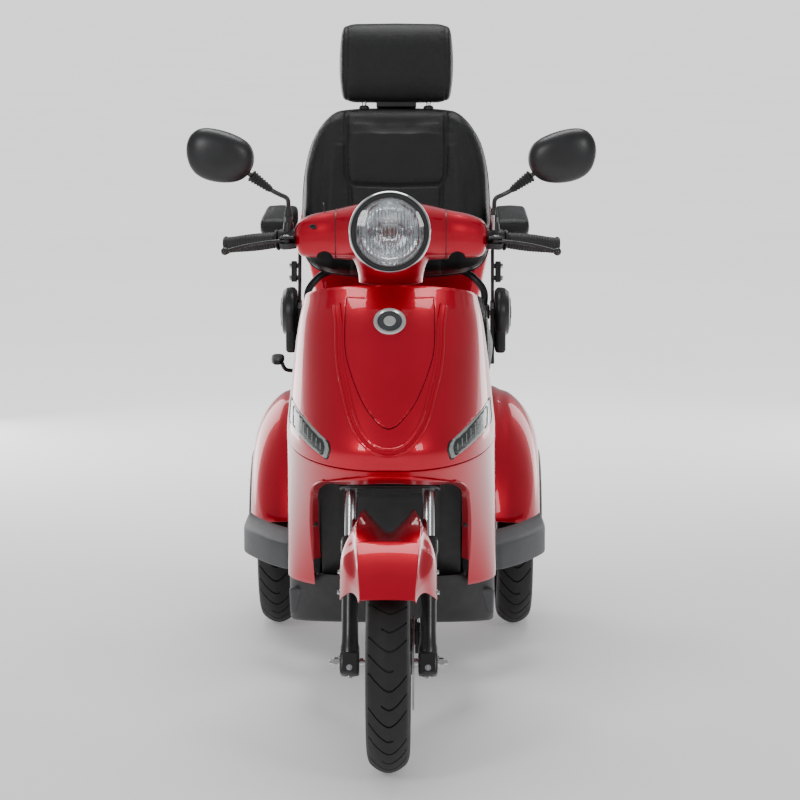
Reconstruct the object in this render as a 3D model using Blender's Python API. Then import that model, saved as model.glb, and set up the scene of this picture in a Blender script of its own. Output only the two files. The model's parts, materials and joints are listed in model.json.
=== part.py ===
"""Three-wheel mobility scooter with a captain's seat, a telescopic fork and a top box.

Frame: +Z up, the scooter faces -Y, origin on the ground under the middle of the
bounding box. +X is the rider's left. All lengths in metres.
"""

import math

import bmesh
import bpy
from mathutils import Matrix, Vector

# ---------------------------------------------------------------- driving dimensions

WHEEL_RADIUS = 0.2085
TYRE_WIDTH = 0.083
RIM_RADIUS = 0.132
WHEELBASE = 1.15
REAR_TRACK = 0.549
OVERALL_LENGTH = 1.749
RAKE = math.radians(24.0)
FORK_OFFSET = 0.030
FORK_LEG_X = 0.075

GAP = 0.0004
WALL = 0.004
WHEEL_SIDES = 28
BODY_HALF_WIDTH = 0.205
FLOOR_TOP = 0.235
FLOOR_HALF_WIDTH = 0.212
FLOOR_REAR = 0.096
REAR_FRONT = 0.100
RAIL_X = 0.130
RAIL_Z = 0.165

SWIVEL_Y = 0.240
SEAT_HALF_WIDTH = 0.212
RECLINE_Y = 0.440
RECLINE_Z = 0.740
BACK_LEAN = math.radians(12.0)
POST_X = 0.074
ARM_UP = 0.165

REAR_TOP = 0.560
DECK_TOP = 0.600
BAR_RADIUS = 0.011
LAMP_TILT = math.radians(6.0)

FRONT_AXLE = Vector((0.0, -OVERALL_LENGTH / 2 + WHEEL_RADIUS, WHEEL_RADIUS))
REAR_AXLE = FRONT_AXLE + Vector((0.0, WHEELBASE, 0.0))
STEER_UP = Vector((0.0, math.sin(RAKE), math.cos(RAKE)))
STEER_BACK = Vector((0.0, math.cos(RAKE), -math.sin(RAKE)))
BACK_UP = Vector((0.0, math.sin(BACK_LEAN), math.cos(BACK_LEAN)))
BACK_FRONT = Vector((0.0, -math.cos(BACK_LEAN), math.sin(BACK_LEAN)))
X_AXIS = Vector((1.0, 0.0, 0.0))
Y_AXIS = Vector((0.0, 1.0, 0.0))
Z_AXIS = Vector((0.0, 0.0, 1.0))
SIDES = (("left", 1.0), ("right", -1.0))

BAR_MIDDLE = FRONT_AXLE + STEER_BACK * FORK_OFFSET + STEER_UP * 0.858
GRIP_START = Vector((0.190, BAR_MIDDLE.y - 0.012, 0.986))
BAR_END = Vector((0.336, BAR_MIDDLE.y + 0.016, 0.968))
GRIP_AXIS = (BAR_END - GRIP_START).normalized()
MIRROR_JOINT = Vector((0.284, -0.322, 1.117))
MIRROR_AXIS = Vector((0.80, -0.05, 0.55)).normalized()
LAMP_AXIS = Vector((0.0, -math.cos(LAMP_TILT), math.sin(LAMP_TILT)))
LAMP_FACE = Vector((0.0, -0.490, 1.017))
KEY_AXIS = Vector((0.0, 0.35, 0.937)).normalized()
KEY_FACE = Vector((-0.135, -0.318, 1.033))

# colour, roughness, metallic
RED = ((0.55, 0.010, 0.015), 0.18, 0.3)
GREY = ((0.085, 0.088, 0.094), 0.55, 0.0)
BLACK = ((0.018, 0.018, 0.019), 0.45, 0.0)
STEEL = ((0.62, 0.62, 0.64), 0.25, 1.0)
CAST = ((0.20, 0.20, 0.21), 0.45, 0.8)
RUBBER = ((0.025, 0.025, 0.026), 0.80, 0.0)
LEATHER = ((0.020, 0.020, 0.021), 0.50, 0.0)
GLASS = ((0.70, 0.72, 0.74), 0.08, 0.0)
SMOKE = ((0.12, 0.13, 0.14), 0.15, 0.0)
LAMP_RED = ((0.45, 0.02, 0.02), 0.15, 0.0)

# ---------------------------------------------------------------- helpers


def on_fork(x, back, up):
    """Point beside the fork: back from the axle and up, both square to the steering axis."""
    return FRONT_AXLE + X_AXIS * x + STEER_BACK * back + STEER_UP * up


def on_back(x, up, front):
    """Point on the backrest: up along its lean and forward of its hinge plane."""
    return Vector((x, RECLINE_Y, RECLINE_Z)) + BACK_UP * up + BACK_FRONT * front


def material(name, look):
    colour, roughness, metallic = look
    made = bpy.data.materials.new(name)
    made.use_nodes = True
    shader = made.node_tree.nodes["Principled BSDF"]
    shader.inputs["Base Color"].default_value = (*colour, 1.0)
    shader.inputs["Roughness"].default_value = roughness
    shader.inputs["Metallic"].default_value = metallic
    return made


def make(name, bm, look=None):
    """Turn a bmesh into an object with its faces pointing out."""
    bmesh.ops.recalc_face_normals(bm, faces=bm.faces)
    mesh = bpy.data.meshes.new(name)
    bm.to_mesh(mesh)
    bm.free()
    mesh.shade_smooth()
    mesh.set_sharp_from_angle(angle=math.radians(35.0))
    made = bpy.data.objects.new(name, mesh)
    bpy.context.collection.objects.link(made)
    if look:
        mesh.materials.append(material(name, look))
    return made


def loft(name, loops, look=None, closed=False):
    """Skin between closed loops of equal length, with end caps unless it closes on itself."""
    bm = bmesh.new()
    rings = [[bm.verts.new(point) for point in loop] for loop in loops]
    pairs = list(zip(rings, rings[1:]))
    if closed:
        pairs.append((rings[-1], rings[0]))
    count = len(rings[0])
    for low, high in pairs:
        for i in range(count):
            j = (i + 1) % count
            bm.faces.new((low[i], low[j], high[j], high[i]))
    if not closed:
        bm.faces.new(list(reversed(rings[0])))
        bm.faces.new(rings[-1])
    return make(name, bm, look)


def sheet(name, rows, thickness, look=None):
    """Open grid of points thickened inwards into a closed wall."""
    bm = bmesh.new()
    grid = [[bm.verts.new(point) for point in row] for row in rows]
    for low, high in zip(grid, grid[1:]):
        for i in range(len(low) - 1):
            bm.faces.new((low[i], low[i + 1], high[i + 1], high[i]))
    mesh = bpy.data.meshes.new(name)
    bm.to_mesh(mesh)
    bm.free()
    mesh.shade_smooth()
    made = bpy.data.objects.new(name, mesh)
    bpy.context.collection.objects.link(made)
    solid = made.modifiers.new("wall", "SOLIDIFY")
    solid.thickness = thickness
    solid.offset = -1.0
    if look:
        mesh.materials.append(material(name, look))
    return made


def frame_of(axis):
    """Two unit vectors square to an axis, the second as near to +Z as it can be."""
    axis = axis.normalized()
    helper = Z_AXIS if abs(axis.z) < 0.9 else Y_AXIS
    side = helper.cross(axis).normalized()
    return side, axis.cross(side)


def turned(name, profile, origin, axis, look=None, sides=16):
    """Solid of revolution from (radius, height) points; closed on itself unless it meets the axis."""
    axis = axis.normalized()
    side, top = frame_of(axis)
    bm = bmesh.new()
    rings = []
    for radius, height in profile:
        centre = origin + axis * height
        if radius == 0.0:
            rings.append([bm.verts.new(centre)] * sides)
            continue
        ring = []
        for k in range(sides):
            turn = math.tau * k / sides
            ring.append(bm.verts.new(centre + (side * math.cos(turn) + top * math.sin(turn)) * radius))
        rings.append(ring)
    pairs = list(zip(rings, rings[1:]))
    if profile[0][0] > 0.0:
        pairs.append((rings[-1], rings[0]))
    for low, high in pairs:
        for k in range(sides):
            j = (k + 1) % sides
            corners = list(dict.fromkeys((low[k], low[j], high[j], high[k])))
            bm.faces.new(corners)
    return make(name, bm, look)


def rod(name, start, end, radius, look=None, sides=12):
    """Plain round bar from one point to another."""
    axis = end - start
    length = axis.length
    return turned(name, [(0.0, 0.0), (radius, 0.0), (radius, length), (0.0, length)], start, axis, look,
                  sides)


def smooth_path(points, steps=4):
    """Catmull-Rom curve through the given points."""
    pts = [Vector(p) for p in points]
    pts = [2 * pts[0] - pts[1]] + pts + [2 * pts[-1] - pts[-2]]
    path = []
    for a, b, c, d in zip(pts, pts[1:], pts[2:], pts[3:]):
        for k in range(steps):
            t = k / steps
            path.append(0.5 * (2 * b + (c - a) * t + (2 * a - 5 * b + 4 * c - d) * t * t
                               + (3 * b - a - 3 * c + d) * t ** 3))
    path.append(pts[-2])
    return path


def pipe(name, points, radius, look=None, sides=8):
    """Round tube swept along a path of points."""
    pts = [Vector(p) for p in points]
    loops = []
    side = None
    for i, point in enumerate(pts):
        ahead = pts[min(i + 1, len(pts) - 1)] - pts[max(i - 1, 0)]
        ahead.normalize()
        if side is None:
            side = frame_of(ahead)[0]
        side = (side - ahead * side.dot(ahead)).normalized()
        top = ahead.cross(side)
        turns = [math.tau * k / sides for k in range(sides)]
        loops.append([point + (side * math.cos(turn) + top * math.sin(turn)) * radius for turn in turns])
    return loft(name, loops, look)


def slab(name, low, high, look=None, bevel=0.0, segments=1):
    """Box between two corners, with rounded edges."""
    low, high = Vector(low), Vector(high)
    bm = bmesh.new()
    bmesh.ops.create_cube(bm, size=1.0)
    for vert in bm.verts:
        vert.co = Vector([(a + b) / 2 + c * (b - a) for a, b, c in zip(low, high, vert.co)])
    made = make(name, bm, look)
    if bevel:
        round_edges(made, bevel, segments)
    return made


def prism(name, outline, low, high, look=None, bevel=0.0, segments=1):
    """Side outline of (y, z) points extruded across X."""
    loops = [[Vector((x, y, z)) for y, z in outline] for x in (low, high)]
    made = loft(name, loops, look)
    if bevel:
        round_edges(made, bevel, segments)
    return made


def round_edges(made, width, segments=1):
    soft = made.modifiers.new("round", "BEVEL")
    soft.width = width
    soft.segments = segments
    soft.limit_method = "ANGLE"
    soft.angle_limit = math.radians(30.0)


def combine(made, tools, operation):
    """Join tools to an object or cut them from it, leaving the tools as hidden guides."""
    for tool in tools:
        step = made.modifiers.new(tool.name, "BOOLEAN")
        step.operation = operation
        step.solver = "EXACT"
        step.object = tool
        tool.hide_render = True
        tool.display_type = "WIRE"
    return made


def join(made, *tools):
    return combine(made, tools, "UNION")


def cut(made, *tools):
    return combine(made, tools, "DIFFERENCE")


def arc(centre, radius, start_deg, end_deg, steps):
    """Points on an arc in any plane of two numbers."""
    points = []
    for k in range(steps + 1):
        turn = math.radians(start_deg + (end_deg - start_deg) * k / steps)
        points.append((centre[0] + radius * math.cos(turn), centre[1] + radius * math.sin(turn)))
    return points


def between(table, t):
    """Value read from a short table of (place, value) pairs with smooth steps."""
    if t <= table[0][0]:
        return table[0][1]
    for (t0, v0), (t1, v1) in zip(table, table[1:]):
        if t <= t1:
            s = (t - t0) / (t1 - t0)
            return v0 + (v1 - v0) * s
    return table[-1][1]


def mirrored(point, side):
    return Vector((point[0] * side, point[1], point[2]))


def body(name, origin, pieces):
    """Parent moving pieces to an empty that sits on their joint's axis."""
    empty = bpy.data.objects.new(name, None)
    empty.location = origin
    bpy.context.collection.objects.link(empty)
    for piece in pieces:
        piece.parent = empty
        piece.matrix_parent_inverse = Matrix.Translation(origin).inverted()
    return empty

# ---------------------------------------------------------------- wheels and axles


def tyre(name, centre):
    half = TYRE_WIDTH / 2
    side = [(RIM_RADIUS + GAP, 0.80 * half), (0.160, half), (0.188, 0.90 * half), (0.203, 0.55 * half),
            (WHEEL_RADIUS, 0.0)]
    profile = side + [(radius, -across) for radius, across in reversed(side[:-1])]
    return turned(name, profile, centre, X_AXIS, RUBBER, WHEEL_SIDES)


def rim(name, centre, bore, hub_half):
    side = [(bore, hub_half), (0.026, hub_half), (0.028, 0.012), (0.104, 0.009), (RIM_RADIUS, 0.034)]
    profile = side + [(radius, -across) for radius, across in reversed(side)]
    return turned(name, profile, centre, X_AXIS, CAST, WHEEL_SIDES)


def build_front_wheel():
    hub_half = 0.045
    axle_radius = 0.006
    wheel = [tyre("front_tyre", FRONT_AXLE), rim("front_rim", FRONT_AXLE, axle_radius + GAP, hub_half)]
    disc_x = hub_half + GAP
    profile = [(0.018, disc_x), (0.018, disc_x + 0.003), (0.090, disc_x + 0.003), (0.090, disc_x)]
    wheel.append(turned("brake_disc", profile, FRONT_AXLE, X_AXIS, STEEL, 24))
    body("front_wheel_axis", FRONT_AXLE, wheel)

    nut_x = FORK_LEG_X + 0.019 + GAP
    profile = [(0.0, -nut_x - 0.020), (axle_radius, -nut_x - 0.020), (axle_radius, -nut_x - 0.009),
               (0.011, -nut_x - 0.009), (0.011, -nut_x), (axle_radius, -nut_x)]
    profile += [(radius, -across) for radius, across in reversed(profile)]
    return turned("front_axle", profile, FRONT_AXLE, X_AXIS, STEEL, 12)


def build_fork_legs():
    legs = []
    for label, side in SIDES:
        foot = on_fork(FORK_LEG_X * side, 0.0, 0.0)
        profile = [(0.0, -0.026), (0.013, -0.026), (0.019, -0.018), (0.019, 0.030), (0.017, 0.036),
                   (0.017, 0.215), (0.019, 0.218), (0.019, 0.238), (0.0135, 0.238), (0.0135, 0.060),
                   (0.0, 0.060)]
        leg = turned("fork_leg_" + label, profile, foot, STEER_UP, BLACK, 16)
        drill = rod("axle_bore_" + label, FRONT_AXLE + X_AXIS * side * 0.03,
                    FRONT_AXLE + X_AXIS * side * 0.13,
                    0.0068, sides=16)
        legs.append(cut(leg, drill))
    return legs


def build_fork_crown():
    stem_top = 0.832
    profile = [(0.0, 0.350), (0.0160, 0.350), (0.0160, stem_top), (0.0, stem_top)]
    stem = turned("fork_crown", profile, on_fork(0.0, FORK_OFFSET, 0.0), STEER_UP, BLACK, 16)
    parts = []
    yoke_low, yoke_high = 0.338, 0.372
    outline = arc((FORK_LEG_X, 0.0), 0.024, -90, 90, 6) + [(0.030, 0.052), (-0.030, 0.052)]
    outline += arc((-FORK_LEG_X, 0.0), 0.024, 90, 270, 6)
    loops = [[on_fork(x, back, up) for x, back in outline] for up in (yoke_low, yoke_high)]
    parts.append(loft("crown_plate", loops))
    for label, side in SIDES:
        parts.append(rod("stanchion_" + label, on_fork(FORK_LEG_X * side, 0.0, 0.105),
                         on_fork(FORK_LEG_X * side, 0.0, 0.378), 0.0125, sides=20))
    return join(stem, *parts)


def build_front_fender():
    """Mudguard over the tyre, wide in front of the fork legs and narrow between the stanchions."""
    width = ((42, 0.056), (54, 0.080), (66, 0.094), (78, 0.092), (86, 0.072), (96, 0.053), (150, 0.050))
    reach = ((42, 0.258), (60, 0.268), (82, 0.282), (98, 0.280), (120, 0.262), (150, 0.245))
    drop = ((42, 0.035), (54, 0.075), (66, 0.100), (78, 0.100), (86, 0.070), (96, 0.040), (150, 0.030))
    rows = []
    for degrees in range(42, 151, 9):
        turn = math.radians(degrees)
        row = []
        for k in range(-6, 7):
            across = math.radians(90.0 * k / 6)
            radius = between(reach, degrees) - between(drop, degrees) * (1 - math.cos(across))
            row.append(FRONT_AXLE + Vector((between(width, degrees) * math.sin(across),
                                            -radius * math.cos(turn), radius * math.sin(turn))))
        rows.append(row)
    return sheet("front_fender", rows, 0.003, RED)


def build_brake_caliper():
    x = 0.045 + GAP + 0.0015
    block = slab("brake_caliper", (x - 0.010, -0.022, -0.028), (x + 0.0185, 0.022, 0.028), BLACK, 0.003, 1)
    slot = slab("disc_slot", (x - 0.0026, -0.060, -0.050), (x + 0.0026, 0.012, 0.050))
    place = Matrix.Translation(FRONT_AXLE + Vector((0.0, 0.086, 0.030))) @ Matrix.Rotation(0.34, 4, "X")
    for item in (block, slot):
        item.data.transform(place)
    low = FRONT_AXLE + Vector((0.0530, 0.008, 0.014))
    hanger = slab("caliper_hanger", low, low + Vector((0.0100, 0.066, 0.028)))
    leg_room = rod("leg_room", on_fork(FORK_LEG_X, 0.0, -0.060), on_fork(FORK_LEG_X, 0.0, 0.200), 0.0195,
                   sides=16)
    join(block, hanger)
    return cut(block, slot, leg_room)


def build_rear_axle():
    centre = REAR_AXLE
    reach = REAR_TRACK / 2 + 0.030
    half = [(0.0, reach), (0.012, reach), (0.012, 0.222), (0.030, 0.222), (0.030, 0.075), (0.072, 0.050),
            (0.072, 0.0)]
    profile = half + [(radius, -across) for radius, across in reversed(half[:-1])]
    axle = turned("rear_transaxle", profile, centre, X_AXIS, CAST, 16)
    motor = rod("motor_housing", centre + Vector((0.020, 0.0, 0.0)), centre + Vector((0.020, -0.145, 0.0)),
                0.052, sides=12)
    saddles = []
    for label, side in SIDES:
        low = centre + Vector((RAIL_X * side - 0.018, -0.020, 0.0))
        high = centre + Vector((RAIL_X * side + 0.018, 0.020, 0.0522))
        saddles.append(slab("saddle_" + label, low, high))
    join(axle, motor, *saddles)
    for label, side in SIDES:
        hub = centre + X_AXIS * side * REAR_TRACK / 2
        wheel = [tyre("rear_tyre_" + label, hub), rim("rear_rim_" + label, hub, 0.012 + GAP, 0.030)]
        body("rear_wheel_axis_" + label, hub, wheel)
    return axle


# ---------------------------------------------------------------- frame and floor


def build_frame():
    """Welded steel frame: head tube, down tube, two rails, seat tower and rear carrier."""
    head = rod("frame", on_fork(0, FORK_OFFSET, 0.395), on_fork(0, FORK_OFFSET, 0.560), 0.025, BLACK, 20)
    down = pipe("down_tube", smooth_path([on_fork(0, FORK_OFFSET + 0.004, 0.455), (0, -0.345, 0.460),
                                          (0, -0.240, 0.300), (0, -0.215, RAIL_Z)], 2), 0.020)
    cross = rod("cross_bar", Vector((-RAIL_X, -0.215, RAIL_Z)), Vector((RAIL_X, -0.215, RAIL_Z)), 0.0165,
                sides=12)
    tubes = [down, cross]
    for label, side in SIDES:
        x = RAIL_X * side
        route = [(x, -0.215, RAIL_Z), (x, 0.310, RAIL_Z), (x, 0.345, 0.175), (x, 0.385, 0.265),
                 (x, 0.420, 0.275), (x, 0.620, 0.275)]
        tubes.append(pipe("rail_" + label, route, 0.0140))
    for name, y, foot in (("front_hoop", 0.152, RAIL_Z), ("rear_hoop", 0.440, 0.275)):
        route = [(-RAIL_X, y, foot), (-RAIL_X, y, 0.505), (-RAIL_X + 0.03, y, 0.530),
                 (RAIL_X - 0.03, y, 0.530),
                 (RAIL_X, y, 0.505), (RAIL_X, y, foot)]
        tubes.append(pipe(name, route, 0.0120))
    tubes.append(rod("tower_bar", Vector((0, 0.152, 0.530)), Vector((0, 0.440, 0.530)), 0.0115, sides=12))
    tubes.append(slab("post_plate", (-0.080, SWIVEL_Y - 0.080, 0.516), (0.080, SWIVEL_Y + 0.080, 0.547)))
    join(head, *tubes)
    bore = rod("head_bore", on_fork(0, FORK_OFFSET, 0.38), on_fork(0, FORK_OFFSET, 0.58), 0.0168, sides=20)
    return cut(head, bore)


def build_floor():
    """Footwell moulding: front wall behind the wheel, floor plate and side skirts."""
    outline = [(-0.425, 0.500), (-0.325, 0.335), (-0.262, 0.178), (FLOOR_REAR, 0.178),
               (FLOOR_REAR, FLOOR_TOP),
               (-0.247, FLOOR_TOP), (-0.311, 0.340), (-0.410, 0.505)]
    floor = prism("floor_pan", outline, -FLOOR_HALF_WIDTH, FLOOR_HALF_WIDTH, GREY)
    under = slab("under_floor", (-FLOOR_HALF_WIDTH + 0.006, -0.240, 0.100),
                 (FLOOR_HALF_WIDTH - 0.006, 0.200, FLOOR_TOP - 0.012))
    passage = slab("tube_passage", (-0.026, -0.2445, 0.150), (0.026, -0.190, 0.400))
    trims = []
    for label, side in SIDES:
        trims.append(prism("wall_side_" + label, [(-0.500, 0.2765), (-0.150, 0.2765), (-0.150, 0.600),
                                                  (-0.500, 0.600)],
                           side * 0.150, side * 0.300))
    return cut(floor, under, passage, *trims)


def build_leg_shield():
    """Rider's side of the front fairing, standing on the floor plate."""
    rows = []
    for k in range(9):
        t = k / 8
        z = FLOOR_TOP + 0.004 + t * 0.629
        row = []
        for i in range(-4, 5):
            s = i / 4
            half = between(((0.0, 0.196), (0.5, 0.196), (1.0, 0.163)), t)
            y = between(((0.0, -0.170), (0.35, -0.185), (1.0, -0.312)), t) + 0.030 * s * s
            row.append(Vector((half * s, y - 0.004, z)))
        rows.append(list(reversed(row)))
    return sheet("leg_shield", rows, 0.004, GREY)


# ---------------------------------------------------------------- front panels


def nose_row(front, side_y, half, front_z, side_z, count, spread=1.0, power=2.3):
    """One sweep across the nose from the right edge over the front to the left edge."""
    row = []
    for k in range(count + 1):
        s = math.sin(math.radians(-90.0 + 180.0 * k / count)) * spread
        bulge = (1 - abs(s) ** power) ** (1 / power)
        row.append(Vector((half * s, side_y + (front - side_y) * bulge, side_z + (front_z - side_z) * bulge)))
    return row


SHIELD_ROWS = (
    # height step: front y, side y, half width, front z, side z
    (-0.440, -0.330, 0.168, 0.905, 0.870),
    (-0.505, -0.330, 0.179, 0.858, 0.825),
    (-0.562, -0.325, 0.188, 0.795, 0.765),
    (-0.612, -0.318, 0.195, 0.730, 0.705),
    (-0.652, -0.308, 0.201, 0.670, 0.655),
    (-0.678, -0.300, 0.205, 0.620, 0.622),
    (-0.672, -0.296, 0.206, 0.585, 0.600),
)


def panel_outline(scale):
    """Egg-shaped outline of the centre panel: straight top, narrow round foot."""
    half = [(0.0860, 0.8850), (0.0875, 0.8500), (0.0860, 0.7970), (0.0755, 0.7590), (0.0590, 0.7210),
            (0.0450, 0.6980), (0.0325, 0.6830), (0.0150, 0.6660), (0.0, 0.6600)]
    middle = 0.790
    half = [(x * scale, z if z > middle else middle + (z - middle) * scale) for x, z in half]
    return [(-x, z) for x, z in half[:1]] + half + [(-x, z) for x, z in reversed(half[1:-1])]


def shield_rows():
    return [nose_row(*station, 16) for station in SHIELD_ROWS]


def build_front_shield():
    shield = sheet("front_shield", shield_rows(), WALL, RED)
    opening = loft("panel_opening",
                   [[Vector((x, y, z)) for x, z in panel_outline(1.0)] for y in (-0.80, -0.40)])
    lamp_cuts = [lamp_shape("lamp_opening_" + label, side, 0.0006, -0.80, -0.30) for label, side in SIDES]
    return cut(shield, opening, *lamp_cuts)


def build_shield_panel():
    skin = sheet("shield_panel", shield_rows(), WALL, RED)
    keep = loft("panel_keep", [[Vector((x, y, z)) for x, z in panel_outline(0.985)] for y in (-0.80, -0.405)])
    return combine(skin, [keep], "INTERSECT")


def lamp_shape(name, side, grow, front, back):
    """Kite outline of a position lamp, extruded through the shield."""
    outline = [(0.197, 0.684), (0.201, 0.640), (0.120, 0.592), (0.113, 0.612), (0.117, 0.628)]
    middle = (0.150, 0.630)
    points = [(middle[0] + (x - middle[0]) * (1 + grow * 20), middle[1] + (z - middle[1]) * (1 + grow * 20))
              for x, z in outline]
    return loft(name, [[Vector((x * side, y, z)) for x, z in points] for y in (front, back)])


def build_position_lamps():
    for label, side in SIDES:
        lamp = sheet("position_lamp_" + label, shield_rows(), 0.008, SMOKE)
        keep = lamp_shape("lamp_keep_" + label, side, 0.0, -0.80, -0.31)
        combine(lamp, [keep], "INTERSECT")


FAIRING_ROWS = (
    (-0.6700, -0.2955, 0.2058, 0.5830, 0.5985),
    (-0.610, -0.270, 0.207, 0.520, 0.540),
    (-0.530, -0.245, 0.209, 0.450, 0.460),
    (-0.440, -0.225, 0.211, 0.370, 0.375),
    (-0.345, -0.212, 0.212, 0.280, 0.280),
)


def build_lower_fairing():
    """Painted lower fairing with a tall arch for the fork and wheel."""
    fairing = sheet("lower_fairing", [nose_row(*station, 18) for station in FAIRING_ROWS], WALL, RED)
    outline = [(0.142, 0.200), (0.146, 0.400), (0.144, 0.470)]
    outline += arc((0.100, 0.500), 0.043, 0, 75, 4)
    outline += [(0.0, 0.556)]
    outline += [(-x, z) for x, z in reversed(outline[:-1])]
    arch = loft("wheel_arch", [[Vector((x, y, z)) for x, z in outline] for y in (-0.85, -0.24)])
    return cut(fairing, arch)


# ---------------------------------------------------------------- handlebar and controls


def along_grip(side, distance, forward=0.0, up=0.0):
    """Point beside the straight end of the bar."""
    point = GRIP_START + GRIP_AXIS * distance
    return Vector((point.x * side, point.y - forward, point.z + up))


def bar_route():
    """Centre line of the handlebar: straight ends under the grips, a shallow sweep between them."""
    half = [along_grip(1.0, 0.145), along_grip(1.0, -0.004), Vector((0.150, BAR_MIDDLE.y - 0.011, 0.9868)),
            Vector((0.080, BAR_MIDDLE.y - 0.004, 0.985))]
    return [mirrored(p, -1.0) for p in half] + [BAR_MIDDLE] + list(reversed(half))


def build_handlebar():
    route = bar_route()
    bar = pipe("handlebar", route, BAR_RADIUS, BLACK, 12)
    clamp_low = on_fork(0.0, FORK_OFFSET, 0.8325)
    clamp = rod("bar_clamp", clamp_low, clamp_low + STEER_UP * 0.036, 0.019, sides=16)
    return join(bar, clamp)


def grip(name, side, inner, outer, radius):
    axis = Vector((GRIP_AXIS.x * side, GRIP_AXIS.y, GRIP_AXIS.z))
    bore = BAR_RADIUS + 0.0006
    profile = [(bore, inner), (radius, inner), (radius + 0.002, inner + 0.002),
               (radius + 0.002, inner + 0.005),
               (radius, inner + 0.007), (radius, outer - 0.004), (radius - 0.003, outer), (bore, outer)]
    return turned(name, profile, along_grip(side, 0.0), axis, RUBBER, 16)


def build_lever_brackets():
    """Clamps around the bar that carry the brake levers and the mirror stems."""
    brackets = []
    for label, side in SIDES:
        axis = Vector((GRIP_AXIS.x * side, GRIP_AXIS.y, GRIP_AXIS.z))
        ring = rod("lever_bracket_" + label, along_grip(side, 0.006), along_grip(side, 0.032), 0.0175, BLACK,
                   20)
        boss = rod("mirror_boss_" + label, along_grip(side, 0.016, 0.004),
                   along_grip(side, 0.016, 0.004, 0.034),
                   0.0095, sides=16)
        low = along_grip(side, 0.019, 0.046, -0.008) - Vector((0.013, 0.0, 0.0))
        high = along_grip(side, 0.019, 0.010, 0.008) + Vector((0.013, 0.0, 0.0))
        perch = slab("lever_perch_" + label, low, high)
        bore = rod("bracket_bore_" + label, along_grip(side, -0.02), along_grip(side, 0.06),
                   BAR_RADIUS + 0.0004,
                   sides=16)
        low = along_grip(side, 0.019, 0.060, -0.0045) - Vector((0.030, 0.0, 0.0))
        high = along_grip(side, 0.019, 0.0215, 0.0045) + Vector((0.030, 0.0, 0.0))
        mouth = slab("lever_mouth_" + label, low, high)
        join(ring, boss, perch)
        brackets.append(cut(ring, bore, mouth))
    return brackets


def lever_pivot(side):
    return along_grip(side, 0.019, 0.034)


def build_brake_levers():
    levers = []
    for label, side in SIDES:
        pivot = lever_pivot(side)
        route = [pivot, pivot + Vector((0.030 * side, -0.010, -0.001)),
                 pivot + Vector((0.075 * side, -0.008, -0.008)),
                 pivot + Vector((0.122 * side, -0.012, -0.020))]
        blade = pipe("brake_lever_" + label, smooth_path(route, 2), 0.0040, BLACK, 8)
        tip = route[-1]
        ball = turned("lever_ball_" + label, [(0.0, -0.008), (0.0057, -0.0057), (0.008, 0.0),
                                              (0.0057, 0.0057),
                                              (0.0, 0.008)], tip, Z_AXIS, sides=12)
        hub = rod("lever_hub_" + label, pivot - Z_AXIS * 0.0041, pivot + Z_AXIS * 0.0041, 0.008, sides=16)
        levers.append(join(blade, ball, hub))
        body("brake_lever_axis_" + label, pivot, [blade])
    return levers


def build_mirrors():
    for label, side in SIDES:
        base = along_grip(side, 0.016, 0.004, 0.034 + GAP)
        route = [base, base + Vector((0.0, 0.0, 0.030)), base + Vector((0.018 * side, -0.004, 0.060)),
                 mirrored(MIRROR_JOINT - MIRROR_AXIS * 0.030, side), mirrored(MIRROR_JOINT, side)]
        stem = pipe("mirror_arm_" + label, smooth_path(route, 2), 0.0052, BLACK, 10)
        collar = turned("mirror_nut_" + label, [(0.0, 0.0), (0.0092, 0.0), (0.0092, 0.014), (0.0, 0.014)],
                        base,
                        Z_AXIS, sides=6)
        join(stem, collar)
        body("mirror_swivel_axis_" + label, base, [stem])

        start = mirrored(MIRROR_JOINT + MIRROR_AXIS * GAP, side)
        axis = mirrored(MIRROR_AXIS, side)
        boot = turned("mirror_boot_" + label, [(0.0, 0.0), (0.009, 0.0), (0.013, 0.030), (0.0, 0.030)],
                      start, axis,
                      sides=12)
        centre = Vector((0.3385 * side, -0.330, 1.152))
        tilt = math.radians(-12.0) * side
        loops = []
        for depth, share in ((-0.026, 0.50), (-0.019, 0.82), (0.0, 1.0), (0.014, 0.98)):
            loop = []
            for k in range(16):
                turn = math.tau * k / 16
                across = math.copysign(abs(math.cos(turn)) ** 0.85, math.cos(turn)) * 0.0655 * share
                high = math.copysign(abs(math.sin(turn)) ** 0.85, math.sin(turn)) * 0.0515 * share
                high *= 1.0 + 0.12 * across * side / 0.0655
                loop.append(centre + Vector((across * math.cos(tilt) - high * math.sin(tilt), depth,
                                             across * math.sin(tilt) + high * math.cos(tilt))))
            loops.append(loop)
        shell = loft("mirror_shell_" + label, loops, BLACK)
        join(shell, boot)
        body("mirror_tilt_axis_" + label, mirrored(MIRROR_JOINT, side), [shell])


def oval(x, y, z, half_y, half_z, count=12):
    """Upright oval in the plane of constant x."""
    return [Vector((x, y + half_y * math.cos(math.tau * k / count),
                    z + half_z * math.sin(math.tau * k / count)))
            for k in range(count)]


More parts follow.
